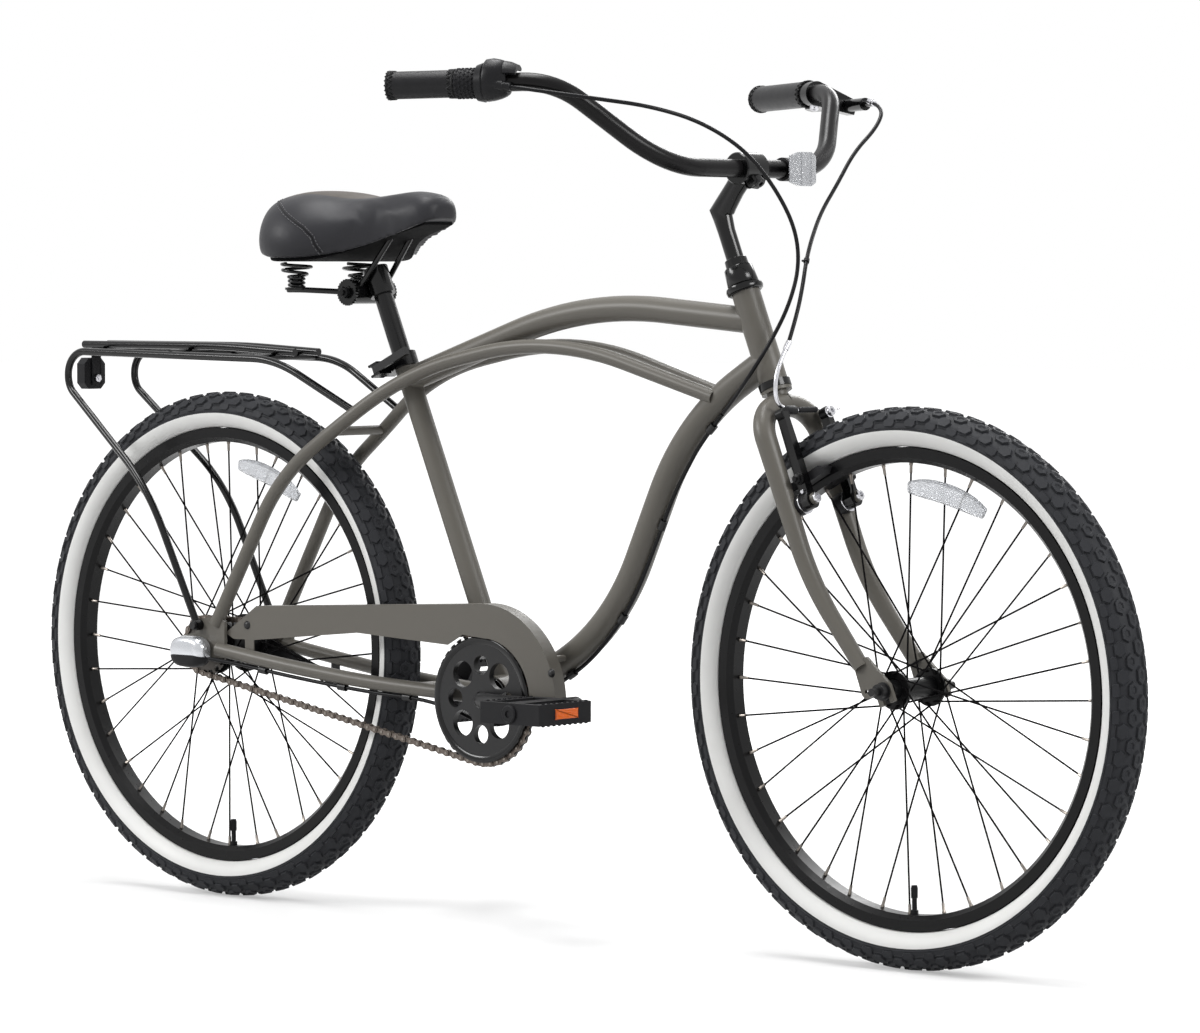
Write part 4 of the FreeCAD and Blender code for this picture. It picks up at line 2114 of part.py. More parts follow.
down_distance = S.down_tube_radius + S.cable_radius + S.down_guide_stand
stay_distance = S.chainstay_radius + S.cable_radius + S.stay_guide_stand
fittings = [
    *cable_guides("down_guide", down_wire, down_rod, down_distance, DOWN_GUIDE_SHARES),
    *cable_guides("stay_guide", stay_wire, stay_rod, stay_distance, STAY_GUIDE_SHARES),
]
rack_bolt = bolt(
    "rack_bolt", S.rack_tube_radius * 2 + S.side_gap + S.dropout_thickness,
    rack_eyelet + along(RIGHT, S.rack_tube_radius + S.fit_gap), LEFT)
fittings += [rack_bolt, mirrored("far_rack_bolt", rack_bolt)]
node(group("frame_fittings", *fittings), "frame_fittings")


# Check and write every piece

doc.recompute()
faults = []
for item in doc.Objects:
    if "Invalid" in item.State or "Error" in item.State:
        faults.append(f"{item.Name} {item.State}")
for item in NODES:
    shape = item.Shape
    if shape.isNull() or not shape.isValid() or not shape.Solids:
        faults.append(f"{item.Label} has no sound shape")
if faults:
    raise RuntimeError("; ".join(faults))
os.makedirs("parts", exist_ok=True)
for item in NODES:
    item.Shape.exportStep(f"parts/{item.Label}.step")
    print(f"{item.Label}: {len(item.Shape.Solids)} solids, {item.Shape.Volume / CUBIC_CENTIMETRE:.1f} cm3")
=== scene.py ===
import math

import bmesh
import bpy
from mathutils import Color, Matrix, Quaternion, Vector
from mathutils.bvhtree import BVHTree


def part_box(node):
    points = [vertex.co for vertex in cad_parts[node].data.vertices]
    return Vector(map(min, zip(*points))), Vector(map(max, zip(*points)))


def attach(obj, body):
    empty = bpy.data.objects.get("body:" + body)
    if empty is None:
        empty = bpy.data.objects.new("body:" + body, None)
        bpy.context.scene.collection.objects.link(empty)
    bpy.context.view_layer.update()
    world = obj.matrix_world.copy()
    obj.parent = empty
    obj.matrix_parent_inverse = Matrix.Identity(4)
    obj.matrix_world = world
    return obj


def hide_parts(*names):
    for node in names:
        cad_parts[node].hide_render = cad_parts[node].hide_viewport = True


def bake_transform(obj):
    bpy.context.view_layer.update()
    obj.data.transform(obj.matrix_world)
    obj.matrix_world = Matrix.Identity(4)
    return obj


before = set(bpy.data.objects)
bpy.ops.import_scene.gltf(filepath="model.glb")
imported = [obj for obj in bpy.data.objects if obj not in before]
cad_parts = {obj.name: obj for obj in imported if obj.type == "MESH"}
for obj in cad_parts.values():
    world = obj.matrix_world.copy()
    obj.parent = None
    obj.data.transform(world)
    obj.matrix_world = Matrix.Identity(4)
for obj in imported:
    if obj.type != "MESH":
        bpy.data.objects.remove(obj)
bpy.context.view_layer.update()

# Looks of the beach cruiser. Lengths are in metres; X runs forward, Y to the rider's left and Z up.

scene = bpy.context.scene

FORWARD = Vector((1, 0, 0))
LEFT = Vector((0, 1, 0))
RIGHT = Vector((0, -1, 0))
UP = Vector((0, 0, 1))
BOX_AXES = (FORWARD, LEFT, UP)
SIDES = (-1, 1)
FULL_TURN = 2 * math.pi
STAGGER_SHARE = 0.5

# Camera at the photograph's place
CAMERA_PLACE = Vector((4.4316, -4.9368, 0.8294))
CAMERA_AZIMUTH = math.radians(41.397)
CAMERA_PITCH = math.radians(2.678)
CAMERA_LENS = 159.63
CAMERA_SENSOR = 36.0

camera_data = bpy.data.cameras.new("camera")
camera_data.lens = CAMERA_LENS
camera_data.sensor_width = CAMERA_SENSOR
camera_data.sensor_fit = "HORIZONTAL"
camera = bpy.data.objects.new("camera", camera_data)
scene.collection.objects.link(camera)
camera_back = Vector((
    math.sin(CAMERA_AZIMUTH) * math.cos(CAMERA_PITCH),
    -math.cos(CAMERA_AZIMUTH) * math.cos(CAMERA_PITCH),
    math.sin(CAMERA_PITCH)))
camera_right = Vector((math.cos(CAMERA_AZIMUTH), math.sin(CAMERA_AZIMUTH), 0))
camera_turn = Matrix((camera_right, camera_back.cross(camera_right), camera_back)).transposed()
camera.matrix_world = Matrix.Translation(CAMERA_PLACE) @ camera_turn.to_4x4()
scene.camera = camera

# Light and floor
SCREEN_WHITE = 255
WHITE = (1, 1, 1, 1)
WORLD_STRENGTH = 0.30
FLOOR_SIZE = 60.0
FLOOR_COLOUR = (190, 190, 190)
FLOOR_NEAR_GLOW = 0.40
FLOOR_FAR_GLOW = 1.0
FLOOR_FADE_START = 1.3
FLOOR_FADE_END = 3.2
# Each lamp: place, length and width of its panel, and power
LAMPS = {
    "right_lamp": ((-2.6, -3.2, 2.6), 2.4, 1.0, 120.0),
    "front_lamp": ((3.8, 0.2, 2.6), 2.0, 1.0, 100.0),
    "top_lamp": ((-0.4, -0.2, 4.0), 3.4, 1.0, 140.0),
    "left_lamp": ((-1.0, 3.8, 2.6), 2.4, 1.0, 60.0),
}
LAMP_AIM = Vector((0, 0, 0.5))

scene.view_settings.view_transform = "Standard"


def screen(colour):
    """A colour given in screen values, as the linear values that sockets take."""
    return (*Color([level / SCREEN_WHITE for level in colour]).from_srgb_to_scene_linear(), 1)


def set_inputs(tree, item, inputs):
    """Fill a node's sockets: a number or colour is written there, another node's output is linked."""
    for name, value in inputs.items():
        if isinstance(value, bpy.types.NodeSocket):
            tree.links.new(value, item.inputs[name])
        else:
            item.inputs[name].default_value = value


def added(tree, kind, output, inputs=None, **settings):
    """Add a shader node with its settings and inputs, and give back one of its outputs."""
    item = tree.nodes.new("ShaderNode" + kind)
    for name, value in settings.items():
        setattr(item, name, value)
    set_inputs(tree, item, inputs or {})
    return item.outputs[output]


def math_node(tree, operation, *values):
    """A math node on sockets or numbers."""
    return added(tree, "Math", 0, dict(enumerate(values)), operation=operation)


def ranged(tree, value, from_low, from_high, to_low, to_high):
    """A value stretched from one range to another and held within it."""
    limits = {"From Min": from_low, "From Max": from_high, "To Min": to_low, "To Max": to_high}
    return added(tree, "MapRange", "Result", {"Value": value, **limits})


def seen_ray(tree):
    """A value of one on rays from the camera, from reflections and through glass."""
    path = tree.nodes.new("ShaderNodeLightPath").outputs
    mirrored = math_node(tree, "MAXIMUM", path["Is Camera Ray"], path["Is Glossy Ray"])
    return math_node(tree, "MAXIMUM", mirrored, path["Is Transmission Ray"])


world = bpy.data.worlds.new("studio")
world.use_nodes = True
scene.world = world
world_tree = world.node_tree
soft_light = world_tree.nodes["Background"]
set_inputs(world_tree, soft_light, {"Color": WHITE, "Strength": WORLD_STRENGTH})
white_light = added(world_tree, "Background", 0, {"Color": WHITE, "Strength": 1})
world_light = added(
    world_tree, "MixShader", 0, {0: seen_ray(world_tree), 1: soft_light.outputs[0], 2: white_light})
set_inputs(world_tree, world_tree.nodes["World Output"], {"Surface": world_light})

for lamp_name, (lamp_place, lamp_length, lamp_width, lamp_power) in LAMPS.items():
    lamp_data = bpy.data.lights.new(lamp_name, "AREA")
    lamp_data.shape = "RECTANGLE"
    lamp_data.size = lamp_length
    lamp_data.size_y = lamp_width
    lamp_data.energy = lamp_power
    lamp = bpy.data.objects.new(lamp_name, lamp_data)
    lamp.location = lamp_place
    lamp.rotation_euler = (LAMP_AIM - Vector(lamp_place)).to_track_quat("-Z", "Y").to_euler()
    scene.collection.objects.link(lamp)

floor_material = bpy.data.materials.new("floor")
floor_material.use_nodes = True
floor_tree = floor_material.node_tree
floor_place = added(floor_tree, "TexCoord", "Object")
floor_reach = added(floor_tree, "VectorMath", "Value", {0: floor_place}, operation="LENGTH")
floor_fade = ranged(
    floor_tree, floor_reach, FLOOR_FADE_START, FLOOR_FADE_END, FLOOR_NEAR_GLOW, FLOOR_FAR_GLOW)
set_inputs(floor_tree, floor_tree.nodes["Principled BSDF"], {
    "Base Color": screen(FLOOR_COLOUR), "Roughness": 1, "Specular IOR Level": 0, "Emission Color": WHITE,
    "Emission Strength": math_node(floor_tree, "MULTIPLY", seen_ray(floor_tree), floor_fade)})
floor_mesh = bpy.data.meshes.new("floor")
half_floor = FLOOR_SIZE / 2
floor_corners = [(half_floor * x, half_floor * y, 0) for x, y in ((-1, -1), (1, -1), (1, 1), (-1, 1))]
floor_mesh.from_pydata(floor_corners, [], [range(len(floor_corners))])
floor_mesh.materials.append(floor_material)
floor = bpy.data.objects.new("floor", floor_mesh)
scene.collection.objects.link(floor)


# Materials

NOISE_DETAIL = 4.0
GLOSS_GRAIN_SHARE = 0.125
RELIEF_DEPTH = 0.0004
PRISM_DEPTH = 0.0012


def noise(tree, place, scale):
    """Soft noise at a scale."""
    return added(tree, "TexNoise", "Fac", {"Vector": place, "Scale": scale, "Detail": NOISE_DETAIL})


def cells(tree, place, scale):
    """Small rounded cells at a scale."""
    return added(tree, "TexVoronoi", "Distance", {"Vector": place, "Scale": scale})


def mixed(tree, value, first, second):
    """A colour between two others."""
    return added(tree, "Mix", "Result", {"Factor": value, "A": first, "B": second}, data_type="RGBA")


def shaded(colour, share):
    """A colour made darker or lighter by a share."""
    return (*[level * share for level in colour[:-1]], 1)


def surface(name, colour, roughness, metallic=0.0, blotch=14.0, grain=900.0, relief=0.05,
            relief_depth=RELIEF_DEPTH, pattern=noise, spread=0.12, gloss_spread=0.08, **sockets):
    """A finish whose colour, gloss and relief vary in the piece's own coordinates."""
    item = bpy.data.materials.new(name)
    item.use_nodes = True
    tree = item.node_tree
    place = added(tree, "TexCoord", "Object")
    base = screen(colour)
    bump = {"Strength": relief, "Distance": relief_depth, "Height": pattern(tree, place, grain)}
    sheen = noise(tree, place, grain * GLOSS_GRAIN_SHARE)
    tone = noise(tree, place, blotch)
    set_inputs(tree, tree.nodes["Principled BSDF"], {
        "Metallic": metallic,
        "Base Color": mixed(tree, tone, shaded(base, 1 - spread), shaded(base, 1 + spread)),
        "Roughness": ranged(tree, sheen, 0, 1, roughness - gloss_spread, roughness + gloss_spread),
        "Normal": added(tree, "Bump", "Normal", bump),
        **{socket.replace("_", " "): value for socket, value in sockets.items()}})
    return item


def lens(name, colour, facet_scale, transmission, relief=0.5):
    """A moulded reflector: glossy plastic over a field of small prisms."""
    return surface(
        name, colour, roughness=0.16, grain=facet_scale, relief=relief, relief_depth=PRISM_DEPTH,
        pattern=cells, spread=0.1, gloss_spread=0.06, Transmission_Weight=transmission, Coat_Weight=0.3,
        Coat_Roughness=0.08)


# Levels of shine that several finishes have in common
SOFT = {"Specular_IOR_Level": 0.3}
DULL = {"Specular_IOR_Level": 0.15}
FLAT = {"Specular_IOR_Level": 0.05}
EVEN = {"gloss_spread": 0.04}
paint = surface("frame_paint", (92, 89, 83), 0.38, grain=1600.0, relief=0.1, spread=0.03, **EVEN, **SOFT)
gloss_black = surface("gloss_black", (8, 8, 9), 0.17, grain=700.0, relief=0.02, spread=0.2, **EVEN, **SOFT)
bar_black = surface("bar_black", (15, 14, 15), 0.3, relief=0.02, spread=0.2, **EVEN, **DULL)
satin_black = surface("satin_black", (22, 22, 23), 0.36, grain=1200.0, relief=0.06, spread=0.15, **SOFT)
black_alloy = surface("black_alloy", (14, 14, 15), 0.3, grain=1000.0, relief=0.06, spread=0.2, **DULL)
black_plastic = surface("black_plastic", (24, 24, 26), 0.5, grain=1500.0, relief=0.2, **DULL)
shifter_plastic = surface(
    "shifter_plastic", (24, 24, 26), 0.36, grain=1500.0, relief=0.12, spread=0.1, **DULL)
shade_black = surface("shade_black", (12, 12, 13), 0.8, grain=600.0, relief=0.2, spread=0.2, **FLAT)
spoke_black = surface("spoke_black", (12, 11, 12), 0.75, blotch=40.0, spread=0.3, **FLAT)
steel = surface(
    "bright_steel", (196, 196, 200), 0.22, metallic=1.0, blotch=60.0, grain=1500.0, relief=0.01, spread=0.08)
chain_steel = surface("chain_steel", (96, 88, 82), 0.42, metallic=0.8, blotch=120.0, spread=0.3)
pin_steel = surface("pin_steel", (126, 120, 114), 0.34, metallic=1.0, blotch=120.0, spread=0.2)
dark_steel = surface("dark_steel", (70, 67, 64), 0.38, metallic=0.9, blotch=60.0, spread=0.25)
tread_rubber = surface(
    "tread_rubber", (43, 44, 47), 0.58, blotch=60.0, grain=1400.0, relief=0.25, spread=0.25, **DULL)
white_rubber = surface(
    "white_rubber", (222, 222, 220), 0.55, blotch=30.0, grain=800.0, relief=0.1, spread=0.03)
soft_rubber = surface("soft_rubber", (24, 24, 26), 0.55, grain=1300.0, relief=0.15, spread=0.15, **DULL)
grip_hide = surface("grip_hide", (20, 20, 22), 0.38, relief=0.15, pattern=cells, Specular_IOR_Level=0.2)
cable_jacket = surface("cable_jacket", (16, 16, 18), 0.34, blotch=40.0, spread=0.2, **DULL)
silver_cover = surface(
    "silver_cover", (196, 198, 202), 0.2, metallic=0.8, grain=1500.0, relief=0.01, spread=0.05)
lacing = surface("lacing", (16, 16, 17), 0.5, grain=2200.0, relief=0.3, spread=0.25, **DULL)
thread = surface("thread", (74, 74, 76), 0.7, grain=3000.0, relief=0.5, spread=0.2)
clear_lens = lens("clear_lens", (216, 218, 222), 620.0, 0.5)
front_lens = lens("front_lens", (190, 192, 196), 460.0, 0.3, relief=0.8)
red_lens = lens("red_lens", (176, 12, 14), 700.0, 0.1)
amber_lens = lens("amber_lens", (226, 98, 0), 700.0, 0.0, relief=0.25)


# Building meshes

SHARP_EDGE = math.radians(38)
WELD = 1e-6
# Numbers of faces round turned pieces
NUT_FACES = 6
WIRE_FACES = 8
SCREW_FACES = 12
SLEEVE_FACES = 16
BOLT_FACES = 20
HEAD_FACES = 24
CUP_FACES = 28
COLLAR_FACES = 48


def across(direction):
    """Two directions square to one another and to the given one."""
    side = direction.orthogonal().normalized()
    return side, direction.cross(side)


def circle(centre, side, other, radius, steps):
    """Points round a centre, in the plane of two directions."""
    angles = [FULL_TURN * step / steps for step in range(steps)]
    return [centre + (side * math.cos(angle) + other * math.sin(angle)) * radius for angle in angles]


def loft(mesh, rows, closed=True, ring=False, caps=False, surface_index=0):
    """Skin rows of points. Closed joins the ends of each row, ring joins the last row to the first."""
    grid = [[mesh.verts.new(point) for point in row] for row in rows]
    pairs = list(zip(grid, grid[1:]))
    if ring:
        pairs.append((grid[-1], grid[0]))
    for first, second in pairs:
        count = len(first)
        for number in range(count if closed else count - 1):
            following = (number + 1) % count
            face = mesh.faces.new((first[number], first[following], second[following], second[number]))
            face.material_index = surface_index
    if caps:
        for face in (mesh.faces.new(grid[0][::-1]), mesh.faces.new(grid[-1])):
            face.material_index = surface_index
    return grid


def topped(mesh, rows):
    """Skin rows of points and close the last one."""
    mesh.faces.new(loft(mesh, rows)[-1])


def lathe(mesh, profile, base, direction, steps, surface_index=0):
    """Spin a profile of (radius, height) points about an axis. A radius of zero closes an end."""
    axis = Vector(direction).normalized()
    side, other = across(axis)
    rows = [circle(Vector(base) + axis * height, side, other, radius, steps) for radius, height in profile]
    loft(mesh, rows, surface_index=surface_index)


def ringed(profile):
    """A profile closed on itself, for a piece with a bore."""
    return (*profile, profile[0])


def rod(mesh, start, end, radius, steps, surface_index=0):
    """A plain rod with closed ends."""
    run = Vector(end) - Vector(start)
    profile = [(0, 0), (radius, 0), (radius, run.length), (0, run.length)]
    lathe(mesh, profile, start, run, steps, surface_index)


def block(mesh, centre, axes, sizes, inset):
    """A box with chamfered edges, set by its centre, its three directions and its three sizes."""
    half = [size / 2 for size in sizes]
    corners = []
    for sign_x, sign_y in ((-1, -1), (1, -1), (1, 1), (-1, 1)):
        for turn in ((1, 0), (0, 1)) if sign_x * sign_y > 0 else ((0, 1), (1, 0)):
            corners.append((sign_x * (half[0] - inset * turn[0]), sign_y * (half[1] - inset * turn[1])))
    rows = []
    for height, draw in ((-half[2], 1), (inset - half[2], 0), (half[2] - inset, 0), (half[2], 1)):
        share_x, share_y = [1 - draw * inset / size for size in half[:2]]
        rows.append([
            Vector(centre) + axes[0] * (x * share_x) + axes[1] * (y * share_y) + axes[2] * height
            for x, y in corners])
    loft(mesh, rows, caps=True)


def tube_along(mesh, points, radius, steps):
    """A round wire through close points."""
    rows = []
    side = None
    for number, point in enumerate(points):
        ahead = points[min(number + 1, len(points) - 1)] - points[max(number - 1, 0)]
        heading = ahead.normalized()
        side = heading.orthogonal() if side is None else side
        side = (side - heading * side.dot(heading)).normalized()
        rows.append(circle(point, side, heading.cross(side), radius, steps))
    loft(mesh, rows, caps=True)


def placed(name, data, body, replaced=()):
    """Put a piece in the scene, riding on its body, and hide the CAD parts that it replaces."""
    item = bpy.data.objects.new(name, data)
    scene.collection.objects.link(item)
    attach(item, body)
    if replaced:
        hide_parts(*replaced)
    return item


def finished(name, mesh, surfaces):
    """Turn mesh work into mesh data with smooth faces and sharp corners."""
    bmesh.ops.remove_doubles(mesh, verts=mesh.verts, dist=WELD)
    bmesh.ops.recalc_face_normals(mesh, faces=mesh.faces)
    data = bpy.data.meshes.new(name)
    mesh.to_mesh(data)
    mesh.free()
    data.shade_smooth()
    data.set_sharp_from_angle(angle=SHARP_EDGE)
    for item in surfaces:
        data.materials.append(item)
    return data


def solid(name, mesh, surfaces, body, replaced=()):
    """A piece that rides on one body."""
    return placed(name, finished(name, mesh, surfaces), body, replaced)


def bending(name, mesh, surfaces):
    """A piece fixed in its world place, with its transform baked into its mesh and riding on no body."""
    item = bpy.data.objects.new(name, finished(name, mesh, surfaces))
    scene.collection.objects.link(item)
    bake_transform(item)
    return item


def turned(name, finish, body, turnings, replaced=()):
    """A piece of one finish, spun from profiles that each have a base, a direction and a number of faces."""
    mesh = bmesh.new()
    for turning in turnings:
        lathe(mesh, *turning)
    return solid(name, mesh, (finish,), body, replaced)


# Finishes of the CAD nodes that show
NODE_FINISHES = (
    (paint, (
        "head_tube", "bottom_bracket_shell", "seat_tube", "top_tube", "down_tube", "rear_dropouts",
        "side_tubes", "chainstays", "frame_bridges", "fork_steerer", "fork_blades", "fork_fittings",
        "chain_guard")),
    (gloss_black, (
        "bearing_cups", "seat_clamp", "seatpost", "saddle_rails", "rack_rails", "rack_deck",
        "brake_arm_right", "brake_arm_left", "brake_bracket", "brake_lever")),
    (bar_black, ("handlebar",)),
    (satin_black, (
        "chainring", "guard_disc", "crank_arms", "coaster_arm", "seat_clamp_lever", "front_axle",
        "frame_fittings")),
    (black_alloy, ("front_rim", "rear_rim", "front_hub", "rear_hub")),
    (dark_steel, ("rear_axle", "rear_sprocket")),
    (soft_rubber, ("brake_pad_right", "brake_pad_left")),
    (black_plastic, ("right_pedal", "left_pedal")),
    (shade_black, ("saddle_base",)),
)
for finish, node_names in NODE_FINISHES:
    for node_name in node_names:
        node_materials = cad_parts[node_name].data.materials
        node_materials.clear()
        node_materials.append(finish)


# Tyres: carcass, white band, ribs and knobs

FRONT_AXLE = Vector((0.57025, 0, 0.3335))
REAR_AXLE = Vector((-0.57025, 0, 0.3335))
TYRE_CORE = 0.3065
TYRE_CROWN = 0.0235
TYRE_FLANK = 0.0265
# Leans are in degrees from the crown
TYRE_EDGE = 150.0
WHITE_LEANS = (93.0, 149.0)
TYRE_LEAN_STEP = 6.0
TYRE_STEPS = 144
RIB_LEANS = (70.0, 86.0)
RIB_HALF_LEAN = 1.4
RIB_HEIGHT = 0.0007
KNOB_COUNT = 64
KNOB_BASE_SHARE = 1.18
CUP_SHARE = 0.62
CUP_DEPTH_SHARE = 0.45
HEXAGON_SHARES = ((1, 0), (0.55, 1), (-0.55, 1), (-1, 0), (-0.55, -1), (0.55, -1))
LUG_SHARES = ((0.9, -1), (1, 0.2), (0.7, 1), (-0.7, 1), (-1, 0.2), (-0.9, -1))
# Each row: lean in degrees, half length and width, height, if it is staggered, outline, if it is cupped
KNOB_ROWS = (
    (0.0, 0.0098, 0.0052, 0.0030, False, HEXAGON_SHARES, True),
    (26.0, 0.0092, 0.0052, 0.0030, True, HEXAGON_SHARES, True),
    (51.0, 0.0092, 0.0056, 0.0030, False, HEXAGON_SHARES, False),
    (72.0, 0.0078, 0.0040, 0.0019, True, LUG_SHARES, False),
)


def tyre_point(axle, around, lean, lift):
    """A point on a tyre: around the wheel, leaning from the crown, lifted off the carcass."""
    radius = TYRE_CORE + (TYRE_CROWN + lift) * math.cos(lean)
    side = (TYRE_FLANK + lift) * math.sin(lean)
    return axle + Vector((radius * math.sin(around), side, radius * math.cos(around)))


def knob(mesh, axle, around, lean, half_length, half_width, height, outline, cupped):
    """One tread block with sloping sides, and a dish in its top where it is cupped."""
    rings = [(KNOB_BASE_SHARE, 0), (1, height)]
    if cupped:
        rings += [(CUP_SHARE, height), (CUP_SHARE * CUP_SHARE, height * CUP_DEPTH_SHARE)]
    side = 1 if lean >= 0 else -1
    rows = []
    for share, lift in rings:
        rows.append([
            tyre_point(
                axle, around + along_share * share * half_length / (TYRE_CORE + TYRE_CROWN),
                lean + side * across_share * share * half_width / TYRE_FLANK, lift)
            for along_share, across_share in outline])
    topped(mesh, rows)


def tyre(name, axle, body):
    """A tyre with its white bands, ribs and rows of knobs, in place of the plain one."""
    leans = {step * TYRE_LEAN_STEP for step in range(int(TYRE_EDGE / TYRE_LEAN_STEP) + 1)} | set(WHITE_LEANS)
    for rib in RIB_LEANS:
        leans |= {rib - RIB_HALF_LEAN, rib, rib + RIB_HALF_LEAN}
    ordered = sorted(leans | {-lean for lean in leans})
    mesh = bmesh.new()
    rows = []
    for step in range(TYRE_STEPS):
        around = FULL_TURN * step / TYRE_STEPS
        rows.append([
            tyre_point(axle, around, math.radians(lean), RIB_HEIGHT if abs(lean) in RIB_LEANS else 0)
            for lean in ordered])
    loft(mesh, rows, closed=False, ring=True)
    for number, face in enumerate(mesh.faces):
        column = number % (len(ordered) - 1)
        middle = abs(ordered[column] + ordered[column + 1]) / 2
        if WHITE_LEANS[0] < middle < WHITE_LEANS[1]:
            face.material_index = 1
    for lean, *knob_sizes, staggered, outline, cupped in KNOB_ROWS:
        phase = STAGGER_SHARE if staggered else 0
        for side in (1, -1) if lean else (1,):
            for step in range(KNOB_COUNT):
                around = FULL_TURN * (step + phase) / KNOB_COUNT
                knob(mesh, axle, around, math.radians(lean * side), *knob_sizes, outline, cupped)
    solid(name + "_dressed", mesh, (tread_rubber, white_rubber), body, (name,))


tyre("front_tyre", FRONT_AXLE, "front_wheel")
tyre("rear_tyre", REAR_AXLE, "rear_wheel")


# Spokes, nipples, valves and spoke reflectors

SPOKES_PER_SIDE = 18
SPOKE_CROSS = math.radians(60)
SPOKE_RIM_RADIUS = 0.2666
SPOKE_RIM_OFFSET = 0.003
SPOKE_FACE = 0.0034
SPOKE_RADIUS = 0.00115
SPOKE_HEAD = 0.0012
NIPPLE_PROFILE = ((0, 0), (0.0024, 0), (0.0024, 0.002), (0.0019, 0.003), (0.0017, 0.012), (0, 0.0125))
VALVE_RADIUS = 0.267
VALVE_ANGLE = math.radians(179)
VALVE_PROFILE = (
    (0, -0.004), (0.0062, -0.004), (0.0062, 0), (0.0046, 0.0005), (0.0046, 0.005), (0.003, 0.0056),
    (0.003, 0.019), (0.004, 0.0195), (0.0042, 0.031), (0.0034, 0.0345), (0, 0.035))
REFLECTOR_RADIUS = 0.238
REFLECTOR_HALF_ARC = math.radians(14)
REFLECTOR_HALF_WIDTH = 0.0125
REFLECTOR_HALF_DEPTH = 0.0045
REFLECTOR_SIDE = -0.0075
REFLECTOR_STEPS = 16
REFLECTOR_END_SHARE = 0.55
REFLECTOR_TAPER_POWER = 3
REFLECTOR_SECTION_SHARES = ((-1, 0), (-0.7, -1), (0.7, -1), (1, 0), (0.7, 1), (-0.7, 1))
# Each wheel: axle, radius and side of the spoke holes in its hub, and angle of its reflector
WHEELS = {
    "front_wheel": (FRONT_AXLE, 0.019, 0.034, math.radians(14)),
    "rear_wheel": (REAR_AXLE, 0.034, 0.028, math.radians(20)),
}


def arm(angle):
    """The direction at an angle round a wheel, from straight up."""
    return Vector((math.sin(angle), 0, math.cos(angle)))


for wheel, (axle, hole_circle, hole_side, reflector_angle) in WHEELS.items():
    nipple_mesh = bmesh.new()
    spoke_mesh = bmesh.new()
    for side in SIDES:
        for number in range(SPOKES_PER_SIDE):
            lead = 1 if number % 2 == 0 else -1
            angle = FULL_TURN * (number + (STAGGER_SHARE if side > 0 else 0)) / SPOKES_PER_SIDE
            start = axle + arm(angle) * hole_circle + LEFT * (side * (hole_side + lead * SPOKE_FACE))
            end = axle + arm(angle + lead * SPOKE_CROSS) * SPOKE_RIM_RADIUS + LEFT * (SPOKE_RIM_OFFSET * side)
            lathe(nipple_mesh, NIPPLE_PROFILE, end, start - end, WIRE_FACES)
            rod(spoke_mesh, start, end, SPOKE_RADIUS, WIRE_FACES)
            outward = LEFT * (side * lead)
            head = start + outward * SPOKE_HEAD
            rod(spoke_mesh, head, start - outward * SPOKE_FACE, SPOKE_RADIUS, WIRE_FACES)
    plain_spokes = wheel.replace("wheel", "spokes")
    solid(wheel + "_nipples", nipple_mesh, (pin_steel,), wheel)
    solid(wheel + "_laced_spokes", spoke_mesh, (spoke_black,), wheel, (plain_spokes,))
    inward = -arm(VALVE_ANGLE)
    turned(wheel + "_valve", soft_rubber, wheel, [
        (VALVE_PROFILE, axle - inward * VALVE_RADIUS, inward, SLEEVE_FACES)])
    reflector_mesh = bmesh.new()
    rows = []
    for step in range(REFLECTOR_STEPS + 1):
        share = 2 * step / REFLECTOR_STEPS - 1
        taper = 1 - (1 - REFLECTOR_END_SHARE) * abs(share) ** REFLECTOR_TAPER_POWER
        direction = arm(reflector_angle + REFLECTOR_HALF_ARC * share)
        rows.append([
            axle + direction * (REFLECTOR_RADIUS + REFLECTOR_HALF_WIDTH * out_share * taper)
            + LEFT * (REFLECTOR_SIDE + REFLECTOR_HALF_DEPTH * depth_share * taper)
            for out_share, depth_share in REFLECTOR_SECTION_SHARES])
    loft(reflector_mesh, rows, caps=True)
    solid(wheel + "_spoke_reflector", reflector_mesh, (clear_lens,), wheel)


# Chain of outer and inner links

BRACKET = Vector((-0.072566, 0, 0.289))
CHAIN_PITCH = 0.0127
CHAIN_LINKS = 108
CHAIN_LINE = -0.046
RING_TEETH = 40
SPROCKET_TEETH = 18
RING_RADIUS = RING_TEETH * CHAIN_PITCH / FULL_TURN
SPROCKET_RADIUS = SPROCKET_TEETH * CHAIN_PITCH / FULL_TURN
PLATE_END_RADIUS = 0.0043
PLATE_WAIST = 0.0024
PLATE_THICKNESS = 0.001
INNER_PLATE_SIDE = 0.0021
OUTER_PLATE_SIDE = 0.0033
ROLLER_RADIUS = 0.0038
PIN_RADIUS = 0.0019
PIN_HALF_LENGTH = 0.0045
PLATE_ARC_STEPS = 6
PLATE_ARC = math.radians(115)

chain_run = REAR_AXLE - BRACKET
chain_centres = chain_run.length
chain_tilt = math.asin((RING_RADIUS - SPROCKET_RADIUS) / chain_centres)
run_length = math.sqrt(chain_centres ** 2 - (RING_RADIUS - SPROCKET_RADIUS) ** 2)
chain_axis = chain_run.normalized()
upper_normal = Quaternion(LEFT, math.pi / 2 - chain_tilt) @ chain_axis
lower_normal = Quaternion(LEFT, chain_tilt - math.pi / 2) @ chain_axis
sprocket_arc = (math.pi - 2 * chain_tilt) * SPROCKET_RADIUS
ring_arc = (math.pi + 2 * chain_tilt) * RING_RADIUS
chain_length = 2 * run_length + sprocket_arc + ring_arc


